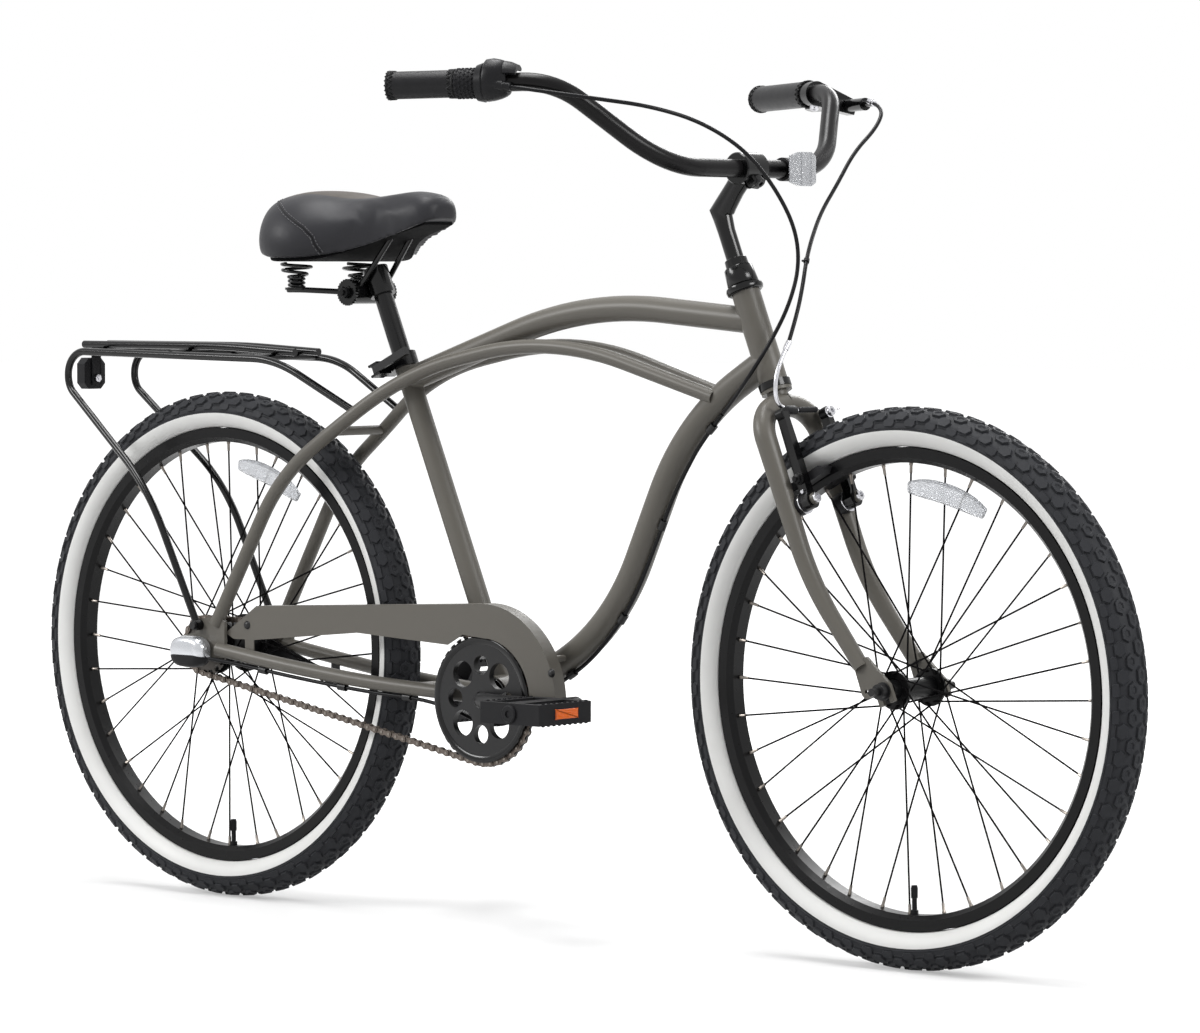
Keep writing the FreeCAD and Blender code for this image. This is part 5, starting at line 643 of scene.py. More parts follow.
def chain_point(distance):
    """A point on the chain's path, measured back from the top of the chainring."""
    distance %= chain_length
    if distance < run_length:
        share = distance / run_length
        return (BRACKET + upper_normal * RING_RADIUS).lerp(REAR_AXLE + upper_normal * SPROCKET_RADIUS, share)
    distance -= run_length
    if distance < sprocket_arc:
        return REAR_AXLE + Quaternion(LEFT, -distance / SPROCKET_RADIUS) @ upper_normal * SPROCKET_RADIUS
    distance -= sprocket_arc
    if distance < run_length:
        share = distance / run_length
        return (REAR_AXLE + lower_normal * SPROCKET_RADIUS).lerp(BRACKET + lower_normal * RING_RADIUS, share)
    distance -= run_length
    return BRACKET + Quaternion(LEFT, -distance / RING_RADIUS) @ lower_normal * RING_RADIUS


def chain_plate(mesh, start, end, side):
    """One waisted side plate between two pins."""
    heading = (end - start).normalized()
    height = heading.cross(LEFT)
    outline = []
    for centre, facing in ((start, -heading), (end, heading)):
        for step in range(PLATE_ARC_STEPS + 1):
            angle = PLATE_ARC * (2 * step / PLATE_ARC_STEPS - 1)
            outline.append(centre + Quaternion(LEFT, angle) @ facing * PLATE_END_RADIUS)
        sign = 1 if (Quaternion(LEFT, PLATE_ARC) @ facing).dot(height) > 0 else -1
        outline.append((start + end) / 2 + height * (sign * PLATE_WAIST))
    loft(mesh, [
        [point + LEFT * (CHAIN_LINE + side + face * PLATE_THICKNESS / 2) for point in outline]
        for face in SIDES], caps=True)


chain_mesh = bmesh.new()
for link in range(CHAIN_LINKS):
    link_start = chain_point(link * CHAIN_PITCH)
    link_end = chain_point((link + 1) * CHAIN_PITCH)
    plate_side = OUTER_PLATE_SIDE if link % 2 == 0 else INNER_PLATE_SIDE
    for side in SIDES:
        chain_plate(chain_mesh, link_start, link_end, plate_side * side)
    middle = link_start + LEFT * CHAIN_LINE
    for reach, radius, faces in (
            (INNER_PLATE_SIDE, ROLLER_RADIUS, SCREW_FACES), (PIN_HALF_LENGTH, PIN_RADIUS, WIRE_FACES)):
        rod(chain_mesh, middle - LEFT * reach, middle + LEFT * reach, radius, faces, surface_index=1)
solid("chain_links", chain_mesh, (chain_steel, pin_steel), "frame", ("chain",))


# Saddle: a puffed cover with a brown-grey top panel and stitched seams

SADDLE_NOSE_X = -0.1782
SADDLE_LENGTH = 0.252
SADDLE_LOW = 0.84175
SADDLE_HEIGHT = 0.087
SADDLE_HALF = 0.117
# From nose to back: shares of the length, of the half width, and of the height at the hem and at the top
SADDLE_STATION_SHARES = (
    (0.0, 0.15, 0.60, 0.80), (0.03, 0.26, 0.55, 0.90), (0.09, 0.32, 0.50, 0.95), (0.18, 0.34, 0.43, 0.945),
    (0.286, 0.38, 0.345, 0.915), (0.425, 0.55, 0.184, 0.86), (0.563, 0.83, 0.046, 0.86),
    (0.702, 1.0, 0.0, 0.96), (0.841, 0.98, 0.0, 0.985), (0.95, 0.87, 0.05, 0.93), (1.0, 0.70, 0.18, 0.78))
# At each station, how far the skirt hangs under the middle of the underside, as a share of the height
SADDLE_SKIRT_SHARES = (0.0, 0.01, 0.05, 0.09, 0.115, 0.11, 0.035, 0.0, 0.0, 0.0, 0.0)
SKIRT_SIDE_SHARE = 0.9
SKIRT_RISE_SHARE = 0.1
# Half of a cross section, from the middle of the hem to the middle of the top
SADDLE_RING_SHARES = (
    (0.0, 0.0), (0.88, 0.0), (0.97, 0.0), (1.02, 0.06), (1.02, 0.4), (0.84, 0.82), (0.5, 0.965), (0.0, 1.0))
SADDLE_HEM_DROP = 0.0005
SADDLE_END_SHARE = 0.6
SADDLE_ROUNDING = 2
SADDLE_VOXEL = 0.0034
PUFF_PRESSURE = 4.0
PUFF_FRAMES = 20
PUFF_CAP = 0.0035
# How far down a face looks where the puff is held, and where it is free
PUFF_HELD = -0.8
PUFF_FREE = -0.3
EVENING_SHARE = 0.5
EVENING_PASSES = 9
PANEL_COLOUR = (58, 52, 46)
PANEL_BACK_X = -0.425
PANEL_FRONT_X = -0.268
PANEL_BACK_HALF = 0.078
PANEL_FRONT_HALF = 0.02
PANEL_LOW_Z = 0.897
PANEL_EDGE = 0.0015
SEAM_POINTS = (
    (-0.404, 0.916), (-0.378, 0.905), (-0.352, 0.891), (-0.334, 0.880), (-0.322, 0.868), (-0.315, 0.846))
SEAM_STEPS = 10
SEAM_RADIUS = 0.0008
SEAM_SIDE = 0.25
STITCH_SIDES = (-0.0028, 0.0028)
STITCH_RADIUS = 0.0006
STITCH_LIFT = 0.0003
STITCH_SHARE = 0.62
STITCH_EVERY = 2


def worked(name, data, add_modifiers):
    """Run modifiers on a mesh and keep only the mesh that they give."""
    item = bpy.data.objects.new(name, data)
    scene.collection.objects.link(item)
    add_modifiers(item)
    bpy.context.view_layer.update()
    graph = bpy.context.evaluated_depsgraph_get()
    result = bpy.data.meshes.new_from_object(item.evaluated_get(graph))
    bpy.data.objects.remove(item)
    return result


def saddle_start():
    """The cover before it is puffed: sections from nose to back, with closed ends."""
    mesh = bmesh.new()
    ring = list(SADDLE_RING_SHARES) + [(-side, height) for side, height in reversed(SADDLE_RING_SHARES[1:-1])]
    rows = []
    for (back, half, low, high), skirt in zip(SADDLE_STATION_SHARES, SADDLE_SKIRT_SHARES):
        row = []
        for side, height in ring:
            rise = low + (high - low) * height
            if abs(side) > SKIRT_SIDE_SHARE and height < SKIRT_RISE_SHARE:
                rise -= skirt
            drop = 0 if height else SADDLE_HEM_DROP
            row.append(Vector((
                SADDLE_NOSE_X - SADDLE_LENGTH * back, SADDLE_HALF * half * side,
                SADDLE_LOW + SADDLE_HEIGHT * rise - drop)))
        rows.append(row)
    for row, place in ((rows[0], 0), (rows[-1], len(rows) + 1)):
        middle = sum(row, Vector()) / len(row)
        rows.insert(place, [middle.lerp(point, SADDLE_END_SHARE) for point in row])
    loft(mesh, rows, caps=True)
    bmesh.ops.recalc_face_normals(mesh, faces=mesh.faces)
    data = bpy.data.meshes.new("saddle_start")
    mesh.to_mesh(data)
    mesh.free()
    return data


def rounded(item):
    """Round the cover's sections and give it even faces."""
    item.modifiers.new("rounding", "SUBSURF").levels = SADDLE_ROUNDING
    even = item.modifiers.new("even", "REMESH")
    even.mode = "VOXEL"
    even.voxel_size = SADDLE_VOXEL


def inflated(item):
    """Blow air into the cover."""
    cloth = item.modifiers.new("cloth", "CLOTH").settings
    cloth.use_pressure = True
    cloth.uniform_pressure_force = PUFF_PRESSURE
    cloth.effector_weights.gravity = 0
    for step in range(PUFF_FRAMES):
        scene.frame_set(step + 1)


def smoothed(item):
    """Even out the cover and divide its faces once."""
    evened = item.modifiers.new("evened", "SMOOTH")
    evened.factor = EVENING_SHARE
    evened.iterations = EVENING_PASSES
    item.modifiers.new("smooth", "SUBSURF").levels = 1


def puffed(data):
    """Swell a cover, hold back its flat underside and cap how far a point moves."""
    start = [vertex.co.copy() for vertex in data.vertices]
    downs = [normal.vector.z for normal in data.vertex_normals]
    swollen = worked("saddle_puff", data, inflated)
    scene.frame_set(1)
    for vertex, origin, down in zip(swollen.vertices, start, downs):
        free = min(max((down - PUFF_HELD) / (PUFF_FREE - PUFF_HELD), 0), 1)
        shift = (vertex.co - origin) * free
        if shift.length > PUFF_CAP:
            shift *= PUFF_CAP / shift.length
        vertex.co = origin + shift
    return swollen


def cover_finish():
    """Black cover with a brown-grey panel on the rear of its top."""
    item = surface(
        "saddle_cover", (41, 41, 44), 0.44, relief=0.1, pattern=cells, spread=0.1, Specular_IOR_Level=0.17)
    tree = item.node_tree
    split = tree.nodes.new("ShaderNodeSeparateXYZ")
    set_inputs(tree, split, {0: added(tree, "TexCoord", "Object")})
    x, y, z = split.outputs
    half = ranged(tree, x, PANEL_BACK_X, PANEL_FRONT_X, PANEL_BACK_HALF, PANEL_FRONT_HALF)
    inside = math_node(tree, "SUBTRACT", half, math_node(tree, "ABSOLUTE", y))
    sides = ranged(tree, inside, -PANEL_EDGE, PANEL_EDGE, 0, 1)
    front = ranged(tree, x, PANEL_FRONT_X - PANEL_EDGE, PANEL_FRONT_X + PANEL_EDGE, 1, 0)
    above = ranged(tree, z, PANEL_LOW_Z - PANEL_EDGE, PANEL_LOW_Z + PANEL_EDGE, 0, 1)
    mask = math_node(tree, "MULTIPLY", math_node(tree, "MULTIPLY", sides, front), above)
    shader = tree.nodes["Principled BSDF"]
    plain = shader.inputs["Base Color"].links[0].from_socket
    set_inputs(tree, shader, {"Base Color": mixed(tree, mask, plain, screen(PANEL_COLOUR))})
    return item


cover_data = worked("saddle_start", saddle_start(), rounded)
cover_data = puffed(cover_data)
cover_data = worked("saddle_smooth", cover_data, smoothed)
cover_data.shade_smooth()
cover_data.materials.append(cover_finish())
cushion = placed("saddle_cover", cover_data, "seat", ("saddle_cushion",))

cover_mesh = bmesh.new()
cover_mesh.from_mesh(cover_data)
cover_tree = BVHTree.FromBMesh(cover_mesh)
seam_mesh = bmesh.new()
stitch_mesh = bmesh.new()
for side in SIDES:
    seam_hits = []
    for (first_x, first_z), (last_x, last_z) in zip(SEAM_POINTS, SEAM_POINTS[1:]):
        for step in range(SEAM_STEPS):
            share = step / SEAM_STEPS
            aim_from = Vector((
                first_x + (last_x - first_x) * share, SEAM_SIDE * side, first_z + (last_z - first_z) * share))
            place, normal, _, _ = cover_tree.ray_cast(aim_from, LEFT * -side)
            if place:
                seam_hits.append((place, normal))
    tube_along(seam_mesh, [place for place, _ in seam_hits], SEAM_RADIUS, NUT_FACES)
    for offset in STITCH_SIDES:
        for (place, normal), (ahead, _) in list(zip(seam_hits, seam_hits[1:]))[::STITCH_EVERY]:
            heading = ahead - place
            start = place + heading.cross(normal).normalized() * offset + normal * STITCH_LIFT
            rod(stitch_mesh, start, start + heading * (STITCH_EVERY * STITCH_SHARE), STITCH_RADIUS, NUT_FACES)
cover_mesh.free()
solid("saddle_seams", seam_mesh, (lacing,), "seat")
solid("saddle_stitches", stitch_mesh, (thread,), "seat")


# Saddle springs: an open loop above a tight stack

SPRING_X = -0.390153
SPRING_SIDE = 0.057
SPRING_WIRE = 0.0022
SPRING_STEPS = 24
SPRING_FACES = 10
# Each stage along the wire: turns made, radius and height
SPRING_STAGES = (
    (0.0, 0.019, 0.8346), (1.0, 0.019, 0.8275), (1.75, 0.0125, 0.8195), (2.25, 0.0095, 0.8168),
    (4.75, 0.0095, 0.8040))

spring_mesh = bmesh.new()
for side in SIDES:
    wire = []
    stages = zip(SPRING_STAGES, SPRING_STAGES[1:])
    for (turn, radius, height), (next_turn, next_radius, next_height) in stages:
        count = round((next_turn - turn) * SPRING_STEPS)
        for step in range(count):
            share = step / count
            angle = FULL_TURN * (turn + (next_turn - turn) * share) * side
            reach = radius + (next_radius - radius) * share
            wire.append(Vector((
                SPRING_X - reach * math.cos(angle), SPRING_SIDE * side + reach * math.sin(angle),
                height + (next_height - height) * share)))
    tube_along(spring_mesh, wire, SPRING_WIRE, SPRING_FACES)
solid("saddle_coils", spring_mesh, (gloss_black,), "seat", ("saddle_springs",))


# Grips with laced edges, the twist grip and the shifter housing

LEFT_BAR_END = Vector((0.052703, 0.344, 1.045501))
RIGHT_BAR_END = Vector((0.052703, -0.344, 1.045501))
LEFT_INWARD = Vector((0.91, -0.414, 0.017)).normalized()
RIGHT_INWARD = Vector((0.91, 0.414, 0.017)).normalized()
GRIP_RADIUS = 0.0165
LEFT_GRIP_LENGTH = 0.140
RIGHT_GRIP_LENGTH = 0.082
GRIP_CAP = 0.0035
GRIP_EDGE = 0.0018
GRIP_BORE = 0.0116
GRIP_FACES = 40
LACE_WIDTH = 0.0085
LACE_RADIUS = 0.0011
LACE_COUNT = 9
LACE_RIM_RADIUS = 0.0014
LACE_STEPS = 6
TWIST_START = 0.0823
TWIST_LENGTH = 0.025
TWIST_RADIUS = 0.0172
TWIST_FACES = 44
TWIST_ROWS = 5
TWIST_COUNT = 18
TWIST_RISE = 0.0014
TWIST_TOP_SHARE = 0.45
DIAMOND_SHARES = ((1, 0), (0, 1), (-1, 0), (0, -1))
HOUSING_START = 0.1076
HOUSING_STEPS = 48
HOUSING_BORE = 0.0118
HOUSING_CREST = Vector((0.30, -0.12, 0.95)).normalized()
HOUSING_SHARPNESS = 3.0
# Each station: place along the bar, plain radius, and how far the crest stands over it
HOUSING_STATIONS = (
    (0.0, 0.0185, 0.0), (0.0015, 0.0215, 0.0), (0.0095, 0.0232, 0.001), (0.0105, 0.0218, 0.001),
    (0.0115, 0.0218, 0.004), (0.0135, 0.0226, 0.0055), (0.022, 0.0216, 0.0075), (0.030, 0.0196, 0.0080),
    (0.036, 0.0172, 0.0085), (0.039, 0.0150, 0.0085))
# Each station: place along the bar, and radius at the beak's middle and at its edges
BEAK_STATIONS = ((0.044, 0.0240, 0.0185), (0.052, 0.0205, 0.0170))
BEAK_ANGLE = math.radians(46)
BEAK_STEPS = 10
BEAK_DROP = 0.002
BEAK_POWER = 2
BARREL_PROFILE = (
    (0, -0.020), (0.0064, -0.020), (0.0064, -0.005), (0.0052, -0.0035), (0.0052, 0.004), (0.004, 0.005),
    (0, 0.005))
BARREL_END = Vector((0.194, -0.296, 1.043))
BARREL_HEADING = Vector((0.038, 0.016, -0.006))


def round_point(end, inward, along_bar, angle, radius):
    """A point round the bar: along from its end, at an angle, at a distance from its middle."""
    side, other = across(inward)
    return end + inward * along_bar + (side * math.cos(angle) + other * math.sin(angle)) * radius


def grip(name, end, inward, length):
    """A grip with crossed laces and a corded rim at both ends."""
    profile = (
        (0, -GRIP_CAP), (GRIP_RADIUS - GRIP_EDGE, -GRIP_CAP), (GRIP_RADIUS, GRIP_EDGE - GRIP_CAP),
        (GRIP_RADIUS, length - GRIP_EDGE), (GRIP_RADIUS - GRIP_EDGE, length), (GRIP_BORE, length))
    turned(name, grip_hide, "fork", [(profile, end, inward, GRIP_FACES)], ("grips",))
    mesh = bmesh.new()
    for first, last in ((-GRIP_CAP, LACE_WIDTH - GRIP_CAP), (length - LACE_WIDTH, length)):
        for phase in (0, 1):
            points = []
            for step in range(LACE_COUNT * 2 * LACE_STEPS + 1):
                share = step / LACE_STEPS
                swing = abs((share + phase) % 2 - 1)
                angle = FULL_TURN * share / (LACE_COUNT * 2)
                points.append(round_point(end, inward, first + (last - first) * swing, angle, GRIP_RADIUS))
            tube_along(mesh, points, LACE_RADIUS, NUT_FACES)
    for edge in (-GRIP_CAP + GRIP_EDGE, length - GRIP_EDGE):
        ring = [
            round_point(end, inward, edge, FULL_TURN * step / (LACE_COUNT * LACE_STEPS), GRIP_RADIUS)
            for step in range(LACE_COUNT * LACE_STEPS + 1)]
        tube_along(mesh, ring, LACE_RIM_RADIUS, NUT_FACES)
    solid(name + "_lacing", mesh, (lacing,), "fork")


grip("left_grip_hide", LEFT_BAR_END, LEFT_INWARD, LEFT_GRIP_LENGTH)
grip("right_grip_hide", RIGHT_BAR_END, RIGHT_INWARD, RIGHT_GRIP_LENGTH)

twist_mesh = bmesh.new()
twist_profile = (
    (GRIP_BORE, 0), (TWIST_RADIUS, 0), (TWIST_RADIUS, TWIST_LENGTH), (GRIP_BORE, TWIST_LENGTH))
lathe(twist_mesh, twist_profile, RIGHT_BAR_END + RIGHT_INWARD * TWIST_START, RIGHT_INWARD, TWIST_FACES)
half_pitch = TWIST_LENGTH / TWIST_ROWS / 2
half_angle = FULL_TURN / TWIST_COUNT / 2
for row in range(TWIST_ROWS):
    for number in range(TWIST_COUNT):
        middle = TWIST_START + (2 * row + 1) * half_pitch
        angle = (2 * number + row % 2) * half_angle
        topped(twist_mesh, [
            [round_point(
                RIGHT_BAR_END, RIGHT_INWARD, middle + half_pitch * along_share * share,
                angle + half_angle * round_share * share, TWIST_RADIUS + rise)
             for along_share, round_share in DIAMOND_SHARES]
            for share, rise in ((1, 0), (TWIST_TOP_SHARE, TWIST_RISE))])
solid("twist_grip", twist_mesh, (soft_rubber,), "shifter", ("shifter_grip",))

crest_flat = (HOUSING_CREST - RIGHT_INWARD * HOUSING_CREST.dot(RIGHT_INWARD)).normalized()
crest_side = RIGHT_INWARD.cross(crest_flat)


def housing_point(along_bar, angle, radius):
    """A point on the housing, at an angle from its crest."""
    around = crest_flat * math.cos(angle) + crest_side * math.sin(angle)
    return RIGHT_BAR_END + RIGHT_INWARD * (HOUSING_START + along_bar) + around * radius


def housing_ring(along_bar, radius, rise=0):
    """A ring of the housing, whose crest stands over the plain radius."""
    ring = []
    for step in range(HOUSING_STEPS):
        angle = FULL_TURN * step / HOUSING_STEPS
        crest = max(math.cos(angle), 0) ** HOUSING_SHARPNESS
        ring.append(housing_point(along_bar, angle, radius + rise * crest))
    return ring


housing_mesh = bmesh.new()
first_bore, last_bore = [housing_ring(HOUSING_STATIONS[end][0], HOUSING_BORE) for end in (0, -1)]
loft(housing_mesh, [first_bore, *[housing_ring(*station) for station in HOUSING_STATIONS], last_bore])
root_along, root_radius, root_rise = HOUSING_STATIONS[-2]
beak_angles = [BEAK_ANGLE * (2 * step / BEAK_STEPS - 1) for step in range(BEAK_STEPS + 1)]
beak_rows = []
for along_bar, outer, inner in ((root_along, root_radius + root_rise, root_radius), *BEAK_STATIONS):
    beak_rows.append([
        housing_point(along_bar, angle, inner + (outer - inner) * math.cos(angle) ** BEAK_POWER)
        for angle in beak_angles])
    beak_rows[-1] += [housing_point(along_bar, angle, inner - BEAK_DROP) for angle in reversed(beak_angles)]
loft(housing_mesh, beak_rows, caps=True)
lathe(housing_mesh, BARREL_PROFILE, BARREL_END, BARREL_HEADING, BOLT_FACES)
solid("shifter_cover", housing_mesh, (shifter_plastic,), "fork", ("shifter_housing",))


# Stem with its kinked neck, and the headset's cap and ring

BAR_CENTRE = Vector((0.315703, 0, 0.948615))
HEAD_TOP = Vector((0.314406, 0, 0.798928))
STEER_UP = Vector((-0.3795, 0, 0.9252))
STEER_FORWARD = Vector((0.9252, 0, 0.3795))
STEM_CORNER_RISE = 0.106
STEM_STEPS = 32
# Below the corner: distance along the steering axis, then half depths to the back and front, and half width
STEM_LOWER = (
    (-0.03, 0.0108, 0.0108, 0.0108), (0.08, 0.0108, 0.0108, 0.0108), (0.097, 0.0115, 0.0135, 0.0112))
STEM_BEND = (0.0146, 0.0195, 0.0125)
# Above it: distance from the corner towards the bar, then the same sizes
STEM_UPPER = (
    (0.016, 0.0125, 0.0155, 0.0122), (0.036, 0.0122, 0.0135, 0.0122), (0.058, 0.0135, 0.0145, 0.0122))
CLAMP_BARREL_PROFILE = (
    (0.0112, -0.020), (0.0180, -0.020), (0.0195, -0.0185), (0.0195, 0.0185), (0.0180, 0.020), (0.0112, 0.020))
CLAMP_LUG_HEADING = Vector((0.62, 0, -0.78)).normalized()
CLAMP_LUG_REACH = 0.0195
CLAMP_LUG_SIZES = (0.018, 0.022, 0.013)
CLAMP_LUG_EDGE = 0.002
CAP_PROFILE = (
    (0.0108, 0.0105), (0.0186, 0.0105), (0.0194, 0.0118), (0.0176, 0.0318), (0.0166, 0.0332),
    (0.0142, 0.0338), (0.0138, 0.0430), (0.0130, 0.0438), (0.0108, 0.0438))
RING_PROFILE = (
    (0.0190, 0.0002), (0.0222, 0.0015), (0.0232, 0.005), (0.0222, 0.0085), (0.0190, 0.0098))

stem_mesh = bmesh.new()
stem_corner = HEAD_TOP + STEER_UP * STEM_CORNER_RISE
stem_reach = (BAR_CENTRE - stem_corner).normalized()
lower_back = -STEER_FORWARD
upper_back = LEFT.cross(stem_reach) * -1
stem_stations = [(HEAD_TOP + STEER_UP * rise, lower_back, sizes) for rise, *sizes in STEM_LOWER]
stem_stations.append((stem_corner, (lower_back + upper_back).normalized(), STEM_BEND))
stem_stations += [(stem_corner + stem_reach * rise, upper_back, sizes) for rise, *sizes in STEM_UPPER]
stem_rows = []
for centre, back, (back_half, front_half, side_half) in stem_stations:
    row = []
    for step in range(STEM_STEPS):
        angle = FULL_TURN * step / STEM_STEPS
        depth = math.cos(angle) * (back_half if math.cos(angle) > 0 else front_half)
        row.append(centre + back * depth + LEFT * (side_half * math.sin(angle)))
    stem_rows.append(row)
loft(stem_mesh, stem_rows, caps=True)
lathe(stem_mesh, ringed(CLAMP_BARREL_PROFILE), BAR_CENTRE, LEFT, COLLAR_FACES)
lug_axes = (LEFT.cross(CLAMP_LUG_HEADING), LEFT, CLAMP_LUG_HEADING)
block(
    stem_mesh, BAR_CENTRE + CLAMP_LUG_HEADING * CLAMP_LUG_REACH, lug_axes, CLAMP_LUG_SIZES, CLAMP_LUG_EDGE)
solid("stem_neck", stem_mesh, (gloss_black,), "fork", ("stem",))
for name, profile, body, replaced in (
        ("headset_cap", CAP_PROFILE, "fork", ("headset_locknut",)),
        ("headset_ring", RING_PROFILE, "frame", ())):
    turning = (ringed(profile), HEAD_TOP, STEER_UP, COLLAR_FACES)
    turned(name, gloss_black, body, [turning], replaced)


# Front reflector on its clamp

FRONT_REFLECTOR_SIDE = 0.072
REFLECTOR_CENTRE = BAR_CENTRE + LEFT * FRONT_REFLECTOR_SIDE
CLAMP_HALF = 0.006
CLAMP_OUTER = 0.0144
CLAMP_INNER = 0.0113
CLAMP_FACES = 32
LENS_BACK = 0.024
LENS_SHELL = 0.027
LENS_SIDE = 0.0285
LENS_FRONT = 0.034
LENS_HALF_WIDTH = 0.025
LENS_HALF_HEIGHT = 0.0205
LENS_CORNER = 0.0045
LENS_FACET_SHARE = 0.38
LENS_FIN_RADIUS = 0.0006

clamp_mesh = bmesh.new()
clamp_profile = (
    (CLAMP_INNER, -CLAMP_HALF), (CLAMP_OUTER, -CLAMP_HALF), (CLAMP_OUTER, CLAMP_HALF),
    (CLAMP_INNER, CLAMP_HALF))
lathe(clamp_mesh, ringed(clamp_profile), REFLECTOR_CENTRE, LEFT, CLAMP_FACES)
shell_width = (LENS_HALF_WIDTH - LENS_CORNER) * 2
shell_height = (LENS_HALF_HEIGHT - LENS_CORNER) * 2
for near, far, width, height in (
        (CLAMP_INNER, LENS_BACK, CLAMP_HALF * 2, CLAMP_HALF),
        (LENS_BACK, LENS_SHELL, shell_width, shell_height)):
    middle = REFLECTOR_CENTRE + FORWARD * ((near + far) / 2)
    block(clamp_mesh, middle, BOX_AXES, (far - near, width, height), LENS_FIN_RADIUS)
solid("front_reflector_clamp", clamp_mesh, (black_plastic,), "fork")
lens_mesh = bmesh.new()
lens_rows = []
for side, reach, cut in (
        (-1, LENS_SIDE, LENS_CORNER), (-LENS_FACET_SHARE, LENS_FRONT, 0), (LENS_FACET_SHARE, LENS_FRONT, 0),
        (1, LENS_SIDE, LENS_CORNER)):
    half = LENS_HALF_HEIGHT - cut
    lens_rows.append([
        REFLECTOR_CENTRE + Vector((depth, LENS_HALF_WIDTH * side, height))
        for depth, height in ((LENS_SHELL, -half), (reach, -half), (reach, half), (LENS_SHELL, half))])
loft(lens_mesh, lens_rows, caps=True)
for side in SIDES:
    edge = REFLECTOR_CENTRE + Vector((LENS_FRONT, LENS_HALF_WIDTH * LENS_FACET_SHARE * side, 0))
    rod(lens_mesh, edge - UP * LENS_HALF_HEIGHT, edge + UP * LENS_HALF_HEIGHT, LENS_FIN_RADIUS, WIRE_FACES)
solid("front_reflector_lens", lens_mesh, (front_lens,), "fork", ("front_reflector",))


# Rear reflector: red lens in an eight-sided housing on a strap

TAIL_FRONT_X = -0.82775
TAIL_BACK_X = -0.84375
TAIL_MIDDLE_Z = 0.687
TAIL_HALF_WIDTH = 0.019
TAIL_HALF_HEIGHT = 0.021
TAIL_CUT = 0.008
TAIL_LIP = 0.0012
TAIL_STEP = 0.004
STRAP_X = -0.78878
STRAP_THICKNESS = 0.003
STRAP_WIDTH = 0.016
STRAP_TOP_Z = 0.718
STRAP_FOOT_Z = 0.672
STRAP_EDGE = 0.0006
TAIL_NUT_Z = 0.6805
TAIL_NUT_PROFILE = ((0, 0), (0.0055, 0), (0.0055, 0.0035), (0.003, 0.0042), (0.003, 0.006), (0, 0.006))


def eight_sided(x, inset):
    """The housing's outline at a place along the bicycle, drawn in by an inset."""
    half_y = TAIL_HALF_WIDTH - inset
    half_z = TAIL_HALF_HEIGHT - inset
    quarter = ((half_y, half_z - TAIL_CUT), (half_y - TAIL_CUT, half_z))
    corners = [*quarter, *[(-y, z) for y, z in reversed(quarter)]]
    corners += [(-y, -z) for y, z in corners]
    return [Vector((x, y, TAIL_MIDDLE_Z + z)) for y, z in corners]


tail_mesh = bmesh.new()
loft(tail_mesh, (
    eight_sided(TAIL_FRONT_X, TAIL_LIP * 2), eight_sided(TAIL_FRONT_X - TAIL_LIP, 0),
    eight_sided(TAIL_BACK_X, 0), eight_sided(TAIL_BACK_X, TAIL_LIP),
    eight_sided(TAIL_BACK_X + TAIL_LIP, TAIL_LIP)), caps=True)
strap_place = Vector((TAIL_FRONT_X + STRAP_THICKNESS / 2, 0, (STRAP_TOP_Z + STRAP_FOOT_Z) / 2))
tab_place = Vector(((STRAP_X + TAIL_FRONT_X) / 2, 0, STRAP_TOP_Z - STRAP_THICKNESS / 2))
strap_sizes = (STRAP_THICKNESS, STRAP_WIDTH, STRAP_TOP_Z - STRAP_FOOT_Z)
tab_sizes = (STRAP_X - TAIL_FRONT_X, STRAP_WIDTH, STRAP_THICKNESS)
block(tail_mesh, strap_place, BOX_AXES, strap_sizes, STRAP_EDGE)
block(tail_mesh, tab_place, BOX_AXES, tab_sizes, STRAP_EDGE)
solid("rear_reflector_housing", tail_mesh, (black_plastic,), "frame", ("rear_reflector",))
tail_lens_mesh = bmesh.new()
loft(tail_lens_mesh, (
    eight_sided(TAIL_BACK_X + TAIL_LIP, TAIL_LIP), eight_sided(TAIL_BACK_X, TAIL_LIP * 2),
    eight_sided(TAIL_BACK_X - TAIL_LIP, TAIL_STEP)), caps=True)
solid("rear_reflector_lens", tail_lens_mesh, (red_lens,), "frame")
nut_place = Vector((TAIL_FRONT_X + STRAP_THICKNESS, 0, TAIL_NUT_Z))
turned("rear_reflector_nut", steel, "frame", [(TAIL_NUT_PROFILE, nut_place, FORWARD, NUT_FACES)])


# Box of the gear cable on the rear axle

JOINT_X = -0.56725
JOINT_Z = 0.3275
JOINT_LENGTH = 0.062
JOINT_HEIGHT = 0.042
# Across the bicycle: places of the box's outlines, and their shares of the full size
JOINT_PLACES = (-0.06665, -0.070, -0.078, -0.086, -0.0895, -0.09065)
JOINT_SIZE_SHARES = (0.86, 0.97, 1.0, 0.93, 0.80, 0.62)
JOINT_STEPS = 40
JOINT_SQUARENESS = 0.74
JOINT_SPLIT = 0.006


def joint_ring(y, share, first, last):
    """Part of a rounded box outline between two angles, at a depth and a size."""
    ring = []
    for step in range(JOINT_STEPS + 1):
        angle = first + (last - first) * step / JOINT_STEPS
        reach_x, reach_z = [
            math.copysign(abs(reach) ** JOINT_SQUARENESS, reach)
            for reach in (math.cos(angle), math.sin(angle))]
        ring.append(Vector((
            JOINT_X + JOINT_LENGTH / 2 * share * reach_x, y, JOINT_Z + JOINT_HEIGHT / 2 * share * reach_z)))
    return ring


